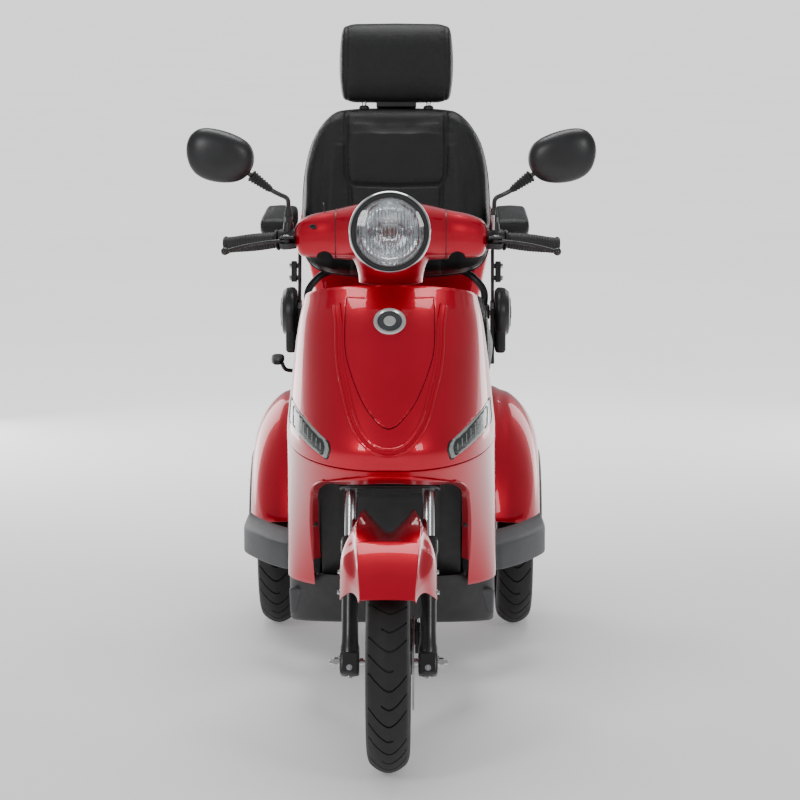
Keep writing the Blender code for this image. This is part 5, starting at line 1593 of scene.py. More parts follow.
def welt(name, tree, route, axis, sides, body):
    """Thin leather cord along a closed route, drawn onto the nearest skin."""
    spots = []
    for spot in route:
        hit, normal, _, _ = tree.find_nearest(spot)
        spots.append(hit + normal * 0.0006)
    loops = []
    for i, point in enumerate(spots):
        ahead = (spots[(i + 1) % len(spots)] - spots[i - 1]).normalized()
        loops.append(circle(point, ahead.cross(axis).normalized(), axis, 0.0021, sides))
    place(loft(name, loops, LEATHER, closed=True, smooth_angle=0.0), body, "black_leather")


def to_back(point):
    """(x, up, front) of a point in the backrest's own directions."""
    offset = point - RECLINE
    return point.x, offset.dot(BACK_UP), offset.dot(BACK_FRONT)


BACK_HALF = mm((0, 78), (110, 80), (170, 90), (202, 110), (217, 150), (218.5, 235), (216.5, 295), (210, 345),
    (197, 393), (174, 432), (144, 460), (110, 470), (0, 472))
UPPER_SEAM = mm((114, 474), (114.5, 400), (113.5, 325), (112, 305), (106, 291), (94, 285), (0, 282))
LOWER_SEAM = mm((106, 291), (103, 240), (102, 160), (106, 84))
BACK_SEAMS = (both(UPPER_SEAM), *([(x * side, up) for x, up in LOWER_SEAM] for _, side in SIDES))


def build_backrest():
    """Backrest cushion with bolsters, sewn channels, a welt and its back board."""
    outline = closed_curve(BACK_HALF + [(-x, up) for x, up in reversed(BACK_HALF[1:-1])], 6)
    loops = [[on_back(p.x, p.y, front) for p in inset(outline, amount)] for front, amount in ((-0.013, 0.012),
        (-0.0105, 0.007), (0.002, 0.0045), (0.024, 0.0055), (0.042, 0.011), (0.053, 0.022), (0.058, 0.042))]
    pad = stuff(loft("backrest_leather", loops, LEATHER), 0.0055, 0.011, lambda p: to_back(p)[2] < -0.006,
        calm=12)

    def relief(point, normal):
        x, up, _ = to_back(point)
        facing = max(0.0, normal.dot(BACK_FRONT))
        if facing < 0.05:
            return 0.0
        bolster = between(((0.112, 0.0), (0.15, 1.0), (0.2, 0.7), (0.216, 0.0)), abs(x))
        lumbar = exp(-((up - 0.19) / 0.07) ** 2) * (1.0 - min(1.0, abs(x) / 0.1) ** 2)
        seams = seam_depth(x, up, BACK_SEAMS)
        slack = 0.0008 * sin(up * 61.0 + 4.0 * sin(x * 23.0)) * between(((0.13, 0.0), (0.19, 1.0)), abs(x))
        return (seams - 0.0085 * bolster - 0.0045 * lumbar + slack) * facing

    press(pad, relief)
    place(pad, "backrest", "black_leather", ("backrest_cushion",))
    tree = tree_of(pad)
    stitches("backrest_stitches", tree, BACK_SEAMS, lambda x, up: on_back(x, up, 0.2), BACK_FRONT * -1.0,
        body="backrest")
    # welt around the edge, where the front panel meets the side band
    welt("backrest_welt", tree, [on_back(p.x, p.y, 0.0) for p in inset(outline, 0.0015)], BACK_FRONT, 12,
        "backrest")
    # moulded back board
    board = loft("backrest_board", [[on_back(p.x, p.y, front) for p in inset(outline, amount)]
        for front, amount in ((-0.014, 0.012), (-0.019, 0.012), (-0.0205, 0.016))], BLACK)
    place(board, "backrest", "black_plastic")


def build_headrest():
    """Headrest cushion on two steel posts."""
    loops = []
    for x, share in ((-0.128, 0.42), (-0.1262, 0.74), (-0.1222, 0.89), (-0.114, 0.955), (-0.095, 0.985),
            (0.0, 1.0), (0.095, 0.985), (0.114, 0.955), (0.1222, 0.89), (0.1262, 0.74), (0.128, 0.42)):
        loop = []
        for k in range(48):
            turn = tau * k / 48
            high = bent(sin(turn), 0.7) * 0.0925 * share
            deep = bent(cos(turn), 0.88) * 0.0385 * share
            loop.append(on_back(x, 0.5725 + high, 0.018 + deep))
        loops.append(loop)
    pad = stuff(loft("headrest_leather", loops, LEATHER), 0.0045, 0.004, lambda p: False)
    seam_at = 0.1135

    def relief(point, normal):
        x, up, front = to_back(point)
        away = abs(abs(x) - seam_at)
        around = atan2(up - 0.575, front - 0.018)
        depth = 0.0016 * exp(-(away / 0.0026) ** 2) + 0.001 * exp(-(away / 0.009) ** 2)
        depth += 0.0002 * sin(around * 30.0) * exp(-((away - 0.006) / 0.005) ** 2)
        return depth * max(0.0, 1.0 - abs(normal.x))

    press(pad, relief)
    place(pad, "headrest", "black_leather", ("headrest_cushion",))
    block = settle(slab("post_guide", (-0.046, -0.0105, -0.0085), (0.046, 0.0105, 0.006), BLACK, 0.003),
        on_back(0.0, 0.4785, 0.015), -BACK_LEAN)
    place(block, "headrest", "black_plastic")
    for label, side in SIDES:
        post = rod("headrest_post_" + label, on_back(0.074 * side, 0.36, 0.015),
            on_back(0.074 * side, 0.5, 0.015), 0.006, STEEL, 40)
        place(post, "headrest", "steel", ("headrest_posts",) if side > 0 else ())
        collar = turned("post_collar_" + label, mm((6.3, -4), (12.5, -4), (12, 2), (9.5, 5), (6.3, 5.5)),
            on_back(0.074 * side, 0.469, 0.015), BACK_UP, BLACK, 40)
        place(collar, "backrest", "black_plastic")


SEAT_SIDE = mm((12, 660), (0, 700), (4, 760), (30, 786), (150, 792), (330, 782), (408, 776), (418, 700),
    (410, 641.5), (50, 641.5))
SIDE_SEAM = mm((118, -10), (120, 110), (118, 250), (112, 405))
SEAT_SEAMS = (*([(x * side, y) for x, y in SIDE_SEAM] for _, side in SIDES),
    both(mm((119, 62), (60, 52), (0, 49))))


def build_seat_cushion():
    """Seat cushion with bolsters, sewn channels and a welt on each side."""
    side = closed_curve(SEAT_SIDE, 6)
    loops = []
    for x, amount in ((-0.204, 0.03), (-0.201, 0.016), (-0.193, 0.009), (-0.15, 0.007), (0.0, 0.006),
            (0.15, 0.007), (0.193, 0.009), (0.201, 0.016), (0.204, 0.03)):
        loops.append([Vector((x, p.x, max(p.y, 0.6415))) for p in inset(side, amount)])
    pad = stuff(loft("seat_leather", loops, LEATHER), 0.006, 0.014, lambda p: p.z < 0.652)

    def relief(point, normal):
        x, y = point.x, point.y
        top = max(0.0, normal.z)
        front = max(0.0, -normal.y)
        depth = seam_depth(x, y, SEAT_SEAMS) * top
        depth += seam_depth(x, 0.0, ([(0.118, 0.0), (0.1181, 0.0)], [(-0.118, 0.0), (-0.1181, 0.0)]),
            pucker=0.0) * max(0.0, front - top) * 1.2
        bolster = between(((0.118, 0.0), (0.158, 1.0), (0.19, 0.8), (0.208, 0.0)), abs(x))
        thigh = exp(-((y - 0.085) / 0.045) ** 2)
        depth -= (0.009 * bolster + 0.004 * thigh * (1.0 - bolster)) * top
        corner = between(((0.135, 0.0), (0.185, 1.0)), abs(x)) * between(((0.02, 1.0), (0.1, 0.0)), y)
        depth += 0.0016 * corner * sin(150.0 * (y + 0.8 * abs(x)) + 26.0 * point.z + 3.0 * sin(70.0 * x))
        return depth

    press(pad, relief)
    place(pad, "seat", "black_leather", ("seat_cushion",))
    tree = tree_of(pad)
    stitches("seat_stitches", tree, SEAT_SEAMS, lambda x, y: Vector((x, y, 1.0)), Z_AXIS * -1.0)
    # welt around the side band
    for label, flip in SIDES:
        route = [Vector((0.204 * flip, p.x, max(p.y, 0.648))) for p in inset(side, 0.004)]
        welt("seat_welt_" + label, tree, route, X_AXIS, 10, "seat")


def build_armrests():
    """Two armrest pads with a seam along the side."""
    for label, _ in SIDES:
        node = "armrest_pad_" + label
        low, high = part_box(node)
        mid_x = (low.x + high.x) / 2
        outline = closed_curve(mm((214, 939), (201, 956), (208, 974), (240, 980.5), (340, 983), (455, 984.5),
            (473.5, 968), (468, 933), (340, 931.2), (245, 931.8)), 5)
        half = (high.x - low.x) / 2
        loops = []
        for share, amount in ((-0.93, 0.012), (-0.89, 0.006), (-0.75, 0.002), (0.0, 0.0005), (0.75, 0.002),
                (0.89, 0.006), (0.93, 0.012)):
            loops.append([Vector((mid_x + half * share, p.x, max(p.y, 0.9312)))
                for p in inset(outline, amount)])
        pad = stuff(loft("armrest_leather_" + label, loops, LEATHER), 0.0034, 0.0042, lambda p: p.z < 0.935)

        def relief(point, normal):
            rim = abs(point.z - 0.945)
            return 0.0016 * exp(-(rim / 0.0022) ** 2) * (1.0 - abs(normal.z))

        press(pad, relief)
        place(pad, "armrest_" + label, "black_leather", (node,))


# ---------------------------------------------------------------- footwell, body, boot


def build_footwell():
    """Grey floor nose, floor tray with a rubber mat, and the rider's side of the fairing."""
    stations = ((-0.338, -0.2085, 0.21, 0.3, 0.3), (-0.324, -0.2065, 0.2098, 0.262, 0.262),
        (-0.302, -0.203, 0.2095, 0.226, 0.216), (-0.288, -0.2, 0.209, 0.202, 0.188),
        (-0.278, -0.196, 0.207, 0.192, 0.179), (-0.26, -0.188, 0.199, 0.1885, 0.1765))
    # the floor nose is grey plastic drawn darker as painted shade
    nose = nose_skin("floor_nose", stations, 6, 96, SHADED_GREY, 0.003)
    place(nose, "root", "grey_plastic")

    outline = [(-0.18, 0.178), (0.096, 0.178), (0.096, FLOOR_TOP), (-0.215, FLOOR_TOP), (-0.26, 0.26),
        (-0.272, 0.256), (-0.235, 0.195)]
    tray = prism("floor_tray", outline, -0.2115, 0.2115, GREY, 0.006, 4)
    place(tray, "root", "grey_plastic", ("floor_pan",))
    rise = [Vector((0.0, y, z)) for y, z in ((-0.246, 0.236), (-0.308, 0.338), (-0.406, 0.5))]
    rows = []
    for k, p in enumerate(smooth_path(rise, 6)):
        half = 0.15 - 0.0008 * k
        rows.append([Vector((x * half, p.y, p.z)) for x in (-1.0, -0.5, 0.0, 0.5, 1.0)])
    # the rise behind the fairing is grey plastic drawn darker as painted shade
    place(sheet("footwell_wall", rows, 0.004, SHADED_GREY), "root", "grey_plastic")

    mat = slab("floor_mat", (-0.186, -0.158, FLOOR_TOP), (0.186, 0.08, FLOOR_TOP + 0.0026), GRIP, 0.0012, 2)
    ribs = []
    for k in range(19):
        y = -0.146 + 0.012 * k
        ribs.append(slab("mat_rib", (-0.176, y, FLOOR_TOP + 0.002), (0.176, y + 0.005, FLOOR_TOP + 0.0044),
            GRIP, 0.001, 2))
    place(join(mat, *ribs), "root", "grip_rubber")

    rows = []
    for k in range(49):
        t = k / 48
        z = FLOOR_TOP + 0.004 + t * 0.629
        half = between(((0.0, 0.196), (0.5, 0.196), (1.0, 0.163)), t)
        row = []
        for i in range(-28, 29):
            s = i / 28
            y = between(((0.0, -0.17), (0.35, -0.185), (1.0, -0.312)), t) + 0.03 * s * s - 0.004
            pocket = between(((0.0, 1.0), (0.44, 1.0), (0.52, 0.0)), abs(s))
            pocket *= between(((0.3, 0.0), (0.34, 1.0), (0.62, 1.0), (0.66, 0.0)), t)
            pad = between(((0.0, 1.0), (0.7, 1.0), (0.76, 0.0)), abs(s))
            pad *= between(((0.7, 0.0), (0.73, 1.0), (0.92, 1.0), (0.95, 0.0)), t)
            row.append(Vector((half * s, y - 0.016 * pocket + 0.004 * pad, z)))
        rows.append(list(reversed(row)))
    place(sheet("leg_shield_skin", rows, 0.004, GREY, 0.001), "root", "grey_plastic", ("leg_shield",))
    for side in (-1.0, 1.0):
        for z in (0.3, 0.52, 0.76):
            half = 0.178 if z < 0.6 else 0.158
            y = -0.132 - 0.22 * max(0.0, z - 0.455) - 0.01
            screw = turned("shield_screw_%d_%d" % (side, z * 1000),
                mm((0, -4), (6, -4), (6, 0.6), (4.8, 2), (1.8, 2.2), (1.6, 1), (0, 1)),
                Vector((half * side, y - 0.012, z)), Y_AXIS, BLACK, 28)
            place(screw, "root", "black_plastic")


def build_side_skirts():
    """Grey skirts that flare from the footwell to the rear wheels."""
    plan = [Vector((x, y, 0.0)) for x, y in ((0.2135, -0.016), (0.225, -0.0135), (0.24, -0.004),
        (0.275, 0.04), (0.312, 0.105), (0.333, 0.155), (0.3355, 0.185))]
    plan = smooth_path(plan, 8)
    for label, side in SIDES:
        rows = []
        for inward, z in ((0.01, 0.237), (0.004, 0.2375), (0.001, 0.24), (0.0, 0.245), (0.0, 0.265),
                (0.0, 0.289), (0.0015, 0.2935), (0.005, 0.296), (0.02, 0.301), (0.045, 0.308), (0.07, 0.312)):
            rows.append([Vector(((p.x - inward * 0.15) * side, min(p.y + inward, 0.235), z)) for p in plan])
        if side < 0:
            rows = [list(reversed(row)) for row in rows]
        place(sheet("side_skirt_skin_" + label, rows, 0.004, GREY, 0.0008), "root", "grey_plastic",
            ("side_skirt_" + label,))


REAR_FRONT = 0.1
REAR_SIDE = [(REAR_FRONT, 0.237), (REAR_FRONT, 0.53), (REAR_FRONT + 0.03, 0.56), (0.6, 0.56),
    (0.65, DECK_TOP), (0.835, DECK_TOP), (0.85, 0.57), (0.8, 0.32), (0.74, 0.25), (0.6, 0.237)]


def build_rear_body():
    """Painted body over the drive, with its shut lines and door lock."""
    shell = prism("rear_body_shell", REAR_SIDE, -BODY_HALF_WIDTH, BODY_HALF_WIDTH, RED, 0.014, 5)
    apply_all(shell)
    inside = [(REAR_FRONT + 0.007, 0.15), (REAR_FRONT + 0.007, 0.5235), (REAR_FRONT + 0.0345, 0.551),
        (0.604, 0.551), (0.654, 0.591), (0.825, 0.591), (0.838, 0.568), (0.79, 0.324), (0.736, 0.258),
        (0.6, 0.258), (0.6, 0.15)]
    under = prism("open_underside", inside, -0.198, 0.198)
    notch = slab("axle_notch", (-0.3, REAR_AXLE.y - 0.04, 0.15), (0.3, REAR_AXLE.y + 0.04, 0.26))
    grooves = []
    # shut lines of the battery lid on top and of the door in the front face
    for x in (-0.15, 0.15):
        grooves.append(slab("lid_line", (x - 0.0011, 0.128, 0.5575), (x + 0.0011, 0.36, 0.57)))
    grooves.append(slab("lid_line", (-0.151, 0.3589, 0.5575), (0.151, 0.3611, 0.57)))
    for x in (-0.155, 0.155):
        grooves.append(slab("door_line", (x - 0.0011, 0.09, 0.3), (x + 0.0011, 0.1025, 0.52)))
    for z in (0.3, 0.52):
        grooves.append(slab("door_line", (-0.1561, 0.09, z - 0.0011), (0.1561, 0.1025, z + 0.0011)))
    boolean(shell, [under, notch, *grooves])
    soften(shell, 0.0006, 1, 50.0)
    place(shell, "root", "body_red", ("rear_body",))
    latch = turned("door_lock", mm((0, 0), (9.5, 0), (9.5, 1.8), (8, 3), (6, 3), (5.6, 1.8), (0, 1.8)),
        Vector((0.0, REAR_FRONT, 0.485)), Y_AXIS * -1.0, STEEL, 48)
    slot = slab("door_lock_slot", (-0.0007, REAR_FRONT - 0.0026, 0.4815),
        (0.0007, REAR_FRONT - 0.0012, 0.4885), BLACK)
    place(join(latch, slot), "root", "steel")


def build_rear_fenders():
    """Creased rear fenders with a grey moulding along the outer edge."""
    inner_x, outer_x = BODY_HALF_WIDTH + 0.001, 0.331
    half_length, height = 0.3, 0.352
    for label, side in SIDES:
        rows, trim = [], []
        for step in range(76):
            degrees = 15.0 + 2.0 * step
            turn = radians(degrees)
            row = []
            for k in range(33):
                across = radians(90.0 * k / 32)
                reach = 1.0 - 0.45 * (1.0 - cos(across))
                crease = 0.01 * exp(-((degrees - 90.0) / 75.0) ** 4) * exp(-((sin(across) - 0.3) / 0.1) ** 2)
                x = inner_x + (outer_x - inner_x) * sin(across)
                row.append(REAR_AXLE + Vector((x * side, -half_length * (reach - 0.3 * crease) * cos(turn),
                    height * (reach - crease) * sin(turn))))
            rows.append(row if side > 0 else list(reversed(row)))
        fender = sheet("rear_fender_skin_" + label, rows, 0.004, RED)
        soften(fender, 0.001, 2, 50.0)
        place(fender, "root", "body_red", ("rear_fender_" + label,))
        # grey moulding around the lower outer edge
        for step in range(93):
            turn = radians(-3.0 + 2.0 * step)
            row = []
            for x, reach in ((0.329, 0.58), (0.3325, 0.574), (0.335, 0.556), (0.336, 0.53), (0.336, 0.47),
                    (0.335, 0.448), (0.331, 0.44), (0.325, 0.44)):
                row.append(REAR_AXLE + Vector((x * side, -half_length * reach * cos(turn),
                    height * reach * sin(turn))))
            trim.append(row if side > 0 else list(reversed(row)))
        place(sheet("fender_trim_" + label, trim, 0.0025, GREY), "root", "grey_plastic")
        # front and rear lower corners of the moulding, square to the ground
        for end in (-1.0, 1.0):
            y = REAR_AXLE.y + end * half_length * 0.515
            corner = slab("trim_corner", (0.3255 * side, y - 0.021, 0.198), (0.336 * side, y + 0.021, 0.222),
                GREY, 0.003, 3)
            place(corner, "root", "grey_plastic")


def box_ring(half, front, rear, z, shrink=0.0, corner=0.03, steps=10):
    """Rounded rectangle at one height of the top box."""
    points = []
    for cx, cy, start in ((half - corner, rear - corner, 0), (-half + corner, rear - corner, 90),
            (-half + corner, front + corner, 180), (half - corner, front + corner, 270)):
        points += arc((cx, cy), corner - shrink, start, start + 90, steps)
    return [Vector((x, y, z)) for x, y in points]


def build_top_box():
    """Top box, hinged lid, the band between them and the lock."""
    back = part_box("top_box")[1].y
    base_z, rim_z = DECK_TOP + 0.03, 0.912
    loops = [box_ring(0.172, 0.697, 0.855, base_z), box_ring(0.178, 0.692, 0.86, base_z + 0.004)]
    for k in range(9):
        t = k / 8
        swell = 0.003 * sin(pi * t)
        loops.append(box_ring(0.1795 + 0.052 * t - swell, 0.69 - 0.013 * t, 0.862 + (back - 0.863) * t,
            base_z + 0.01 + (rim_z - base_z - 0.022) * t))
    loops += [box_ring(0.233, 0.676, back, rim_z - 0.008), box_ring(0.233, 0.676, back, rim_z)]
    box = loft("top_box_shell", loops, RED)
    room = loft("box_room", [box_ring(0.178, 0.69, 0.862, base_z + 0.006, 0.007),
        box_ring(0.234, 0.676, back, rim_z + 0.006, 0.006)])
    boolean(box, [room])
    soften(box, 0.0007, 1, 50.0)
    feet = [slab("box_foot", (x - 0.02, y - 0.015, DECK_TOP + 0.0004), (x + 0.02, y + 0.015, base_z + 0.003),
        BLACK, 0.002, 2) for x, y in ((-0.13, 0.72), (0.13, 0.72), (-0.13, 0.8), (0.13, 0.8))]
    place(join(box, *feet), "root", "body_red", ("top_box",))

    lid = loft("top_box_lid_shell", [box_ring(0.233, 0.676, back, 0.9126),
        box_ring(0.233, 0.676, back, 0.936), box_ring(0.2305, 0.678, back - 0.002, 0.945),
        box_ring(0.224, 0.683, back - 0.008, 0.956), box_ring(0.211, 0.692, back - 0.018, 0.964),
        box_ring(0.191, 0.706, back - 0.032, 0.9685), box_ring(0.165, 0.722, back - 0.05, 0.97)], RED)
    hollow = loft("lid_room", [box_ring(0.2275, 0.6815, back - 0.0055, 0.9),
        box_ring(0.225, 0.684, back - 0.008, 0.936), box_ring(0.195, 0.706, back - 0.032, 0.962)])
    boolean(lid, [hollow])
    soften(lid, 0.0007, 1, 50.0)
    parts = []
    for x in (-0.11, -0.055, 0.0, 0.055, 0.11):
        parts.append(slab("lid_rib", (x - 0.006, 0.735, 0.9685), (x + 0.006, back - 0.062, 0.9712), RED,
            0.0022, 3))
    place(join(lid, *parts), "lid", "body_red", ("top_box_lid",))

    band = loft("box_band", [box_ring(0.2338, 0.6752, back - 0.0002, z) for z in (0.9035, 0.9118)]
        + [box_ring(0.229, 0.68, back - 0.0046, z) for z in (0.9118, 0.9035)], BLACK, closed=True)
    soften(band, 0.0006, 2)
    place(band, "root", "black_plastic")
    lock = turned("box_lock", mm((0, 0), (11, 0), (11, 1), (9, 1.6), (6, 1.4), (5.6, 0.8), (0, 0.8)),
        Vector((0.0, back - 0.0022, 0.88)), Y_AXIS, STEEL, 48)
    place(lock, "root", "steel")


def build_tail():
    """Rear lamps: a slim centre lamp, one round lamp in each corner and a plain plate below."""
    lean = Vector((0.0, 0.9805, -0.1965))
    outline = mm((827, 441), (842, 440), (845, 443), (856, 497), (854, 500), (839, 500))
    lamp = prism("centre_lamp", outline, -0.129, 0.129, TAIL, 0.003, 4)
    bars = [slab("lamp_divider", (x - 0.0012, 0.838, 0.444), (x + 0.0012, 0.844, 0.452), BLACK)
        for x in (-0.06, 0.06)]
    place(join(lamp, *bars), "root", "red_lens", ("tail_lamp",))
    for label, side in SIDES:
        at = Vector((0.168 * side, 0.8385, 0.512))
        ring = turned("lamp_ring_" + label, mm((20.5, -4), (25, -4), (25, 4), (23.5, 6), (20.5, 5)), at, lean,
            BLACK, 64)
        lens = turned("corner_lens", mm((0, -2), (20.6, -2), (20.6, 5), (18, 8.5), (10, 11), (0, 11.8)), at,
            lean, TAIL, 64)
        place(join(ring, lens), "root", "red_lens")
    plate = slab("reflector_bar", (-0.095, 0.815, 0.39), (0.095, 0.8225, 0.412), TAIL, 0.002, 3)
    place(plate, "root", "red_lens")


def build_frame_tubes():
    """Welded tube frame with its steering head and the plate for the seat post."""
    rail_x, rail_z, seat_z, hoop_z = 0.13, 0.165, 0.275, 0.53
    front_y, front_z = -0.205, 0.192
    head = turned("frame_tubes", mm((16.8, 395), (24.5, 395), (26, 398), (26, 408), (25, 411), (25, 544),
        (26, 547), (26, 557), (24.5, 560), (16.8, 560)), on_fork(0, FORK_OFFSET, 0.0), STEER_UP, COAT, 64)
    tubes = [pipe("down_tube", smooth_path([on_fork(0, FORK_OFFSET + 0.022, 0.455), (0, -0.345, 0.46),
        (0, -0.232, 0.3), (0, front_y, front_z)], 10), 0.0198, COAT, 40),
        rod("cross_bar", Vector((-rail_x, front_y, front_z)), Vector((rail_x, front_y, front_z)), 0.0135,
        COAT, 40)]
    for _, side in SIDES:
        x = rail_x * side
        route = [(x, front_y, front_z), (x, -0.15, 0.186), (x, -0.09, rail_z), (x, 0.29, rail_z),
            (x, 0.345, 0.177), (x, 0.38, 0.258), (x, 0.425, seat_z), (x, 0.62, seat_z)]
        tubes.append(pipe("rail", smooth_path(route, 10), 0.0138, COAT, 36))
    for y, foot in ((0.152, rail_z), (0.44, seat_z)):
        route = [(-rail_x, y, foot), (-rail_x, y, 0.49), (-rail_x + 0.008, y, 0.518),
            (-rail_x + 0.034, y, hoop_z), (rail_x - 0.034, y, hoop_z), (rail_x - 0.008, y, 0.518),
            (rail_x, y, 0.49), (rail_x, y, foot)]
        tubes.append(pipe("hoop", smooth_path(route, 8), 0.0118, COAT, 32))
    tubes.append(rod("tower_bar", Vector((0, 0.152, hoop_z)), Vector((0, 0.44, hoop_z)), 0.0113, COAT, 32))
    tubes.append(slab("post_plate", (-0.08, SWIVEL.y - 0.08, 0.516), (0.08, SWIVEL.y + 0.08, 0.547), COAT,
        0.003))
    place(join(head, *tubes), "root", "black_metal", ("frame",))


def build_drive():
    """Rear axle case with the motor, saddles and case bolts."""
    reach = REAR_TRACK / 2 + 0.0295
    half = [(0.0, reach), (0.011, reach), (0.0119, reach - 0.001), (0.0119, 0.223), (0.027, 0.222),
        (0.0298, 0.219), (0.0298, 0.09), (0.034, 0.086), (0.056, 0.066), (0.07, 0.052), (0.0718, 0.046),
        (0.0718, 0.004), (0.0735, 0.003), (0.0735, 0.0)]
    profile = half + [(r, -x) for r, x in reversed(half[:-1])]
    axle = turned("transaxle_case", profile, REAR_AXLE, X_AXIS, ALLOY, 72)
    start = REAR_AXLE + Vector((0.02, 0.0, 0.0))
    profile = mm((0, 40), (51.5, 40))
    for k in range(8):
        at = 0.076 + 0.0066 * k
        profile += [(0.0485, at), (0.0485, at + 0.0022), (0.0518, at + 0.0026), (0.0518, at + 0.0054)]
    profile += mm((50.5, 140), (47, 145), (0, 145))
    motor = turned("motor_case", profile, start, Y_AXIS * -1.0, ALLOY, 72)
    parts = [motor]
    for _, side in SIDES:
        low = REAR_AXLE + Vector((0.13 * side - 0.018, -0.02, 0.0))
        high = REAR_AXLE + Vector((0.13 * side + 0.018, 0.02, 0.052))
        parts.append(slab("saddle", low, high, COAT, 0.002))
    for k in range(8):
        turn = tau * (k + 0.5) / 8
        at = REAR_AXLE + Vector((0.052, cos(turn) * 0.064, sin(turn) * 0.064))
        parts.append(turned("case_bolt", puck(0.0044, -0.002, 0.0036), at, X_AXIS, STEEL, 6))
    place(join(axle, *parts), "root", "cast_alloy", ("rear_transaxle",))


def build_seat_base():
    """Swivel socket and post, seat pan with hinge ears, covers of the hinge and the swivel lever."""
    socket = turned("swivel_socket", mm((0, 0), (49, 0), (50, 1), (50, 12), (62, 15), (0, 15)),
        Vector((0.0, SWIVEL.y, 0.6066)), Z_AXIS, COAT, 72)
    base = slab("seat_pan", (-0.1795, 0.0605, 0.622), (0.1795, 0.4395, 0.6398), COAT, 0.005, 4)
    parts = [base]
    for _, side in SIDES:
        parts.append(slab("ear_foot", (0.17 * side, 0.395, 0.6252), (0.226 * side, 0.435, 0.6398), COAT,
            0.002))
        outline = mm((395, 626), (435, 626), (474.5, 712), (474.5, 751), (462, 764), (418, 764), (405, 751))
        parts.append(prism("hinge_ear", outline, *sorted((0.2168 * side, 0.2258 * side)), COAT, 0.0015))
        parts.append(turned("slide_rail", puck(0.008, -0.15, 0.15), Vector((0.15 * side, 0.25, 0.615)),
            Y_AXIS, STEEL, 32))
    place(join(socket, *parts), "seat", "black_metal", ("seat_base",))
    post = turned("swivel_post", mm((0, 560.4), (60, 560.4), (62, 562), (62, 566.5), (58, 569), (30, 572),
        (25.8, 576), (25.8, 605.8), (0, 605.8)), Vector((0.0, SWIVEL.y, 0.0)), Z_AXIS, COAT, 72)
    place(post, "root", "black_metal", ("seat_post",))

    for label, side in SIDES:
        centre = Vector((0.0, RECLINE.y - 0.008, RECLINE.z))
        disc = turned("cover_disc", mm((0, 226.8), (50, 226.8), (57, 233), (57.8, 240), (56, 250), (48, 259),
            (30, 262.8), (0, 263)), centre, X_AXIS * side, BLACK, 96)
        skirt = slab("cover_skirt", (0.2268 * side, 0.3885, 0.6505), (0.252 * side, 0.4695, 0.735), BLACK,
            0.008, 4)
        cover = blob("recline_cover_skin_" + label, [disc, skirt], 0.0018, 4, BLACK)
        hole = rod("pin_room", Vector((0.2 * side, RECLINE.y, RECLINE.z)),
            Vector((0.234 * side, RECLINE.y, RECLINE.z)), 0.0125)
        boolean(cover, [hole])
        cap = turned("cover_cap", mm((0, 262.2), (15, 262.2), (15, 264), (13, 265.2), (0, 265.5)), centre,
            X_AXIS * side, BLACK, 64)
        ring = turned("cover_ring", mm((30, 261.2), (33, 261.2), (33, 263.4), (30, 263.6)), centre,
            X_AXIS * side, BLACK, 72)
        place(join(cover, cap, ring), "seat", "grey_plastic", ("recline_cover_" + label,))

    pivot = joint_point("swivel_lever_lift")
    route = [pivot + Vector(step) for step in ((0.072, 0.0, 0.0), (0.03, 0.0, 0.0), (0.0, 0.0, 0.0),
        (-0.014, -0.008, 0.006), (-0.022, -0.022, 0.028), (-0.025, -0.042, 0.038), (-0.025, -0.066, 0.0395))]
    shaft = pipe("lever_shaft", smooth_path(route, 8), 0.0045, COAT, 24)
    loops = []
    for k in range(25):
        t = k / 24
        wide, high = 0.015 * (1.0 - 0.25 * t * t), 0.0088 + 0.0012 * sin(pi * t)
        share = min(1.0, sin(pi * min(t, 1.0 - t) + 0.1) ** 0.3 + 0.02)
        centre = pivot + Vector((-0.025, -0.052 - 0.0595 * t, 0.039 - 0.004 * t * t))
        loops.append([centre
            + Vector((bent(cos(a), 0.7) * wide * share, 0.0, bent(sin(a), 0.7) * high * share))
            for a in (tau * q / 40 for q in range(40))])
    paddle = loft("lever_paddle", loops, GRIP)
    place(join(shaft, paddle), "swivel_lever", "black_metal", ("seat_lever",))


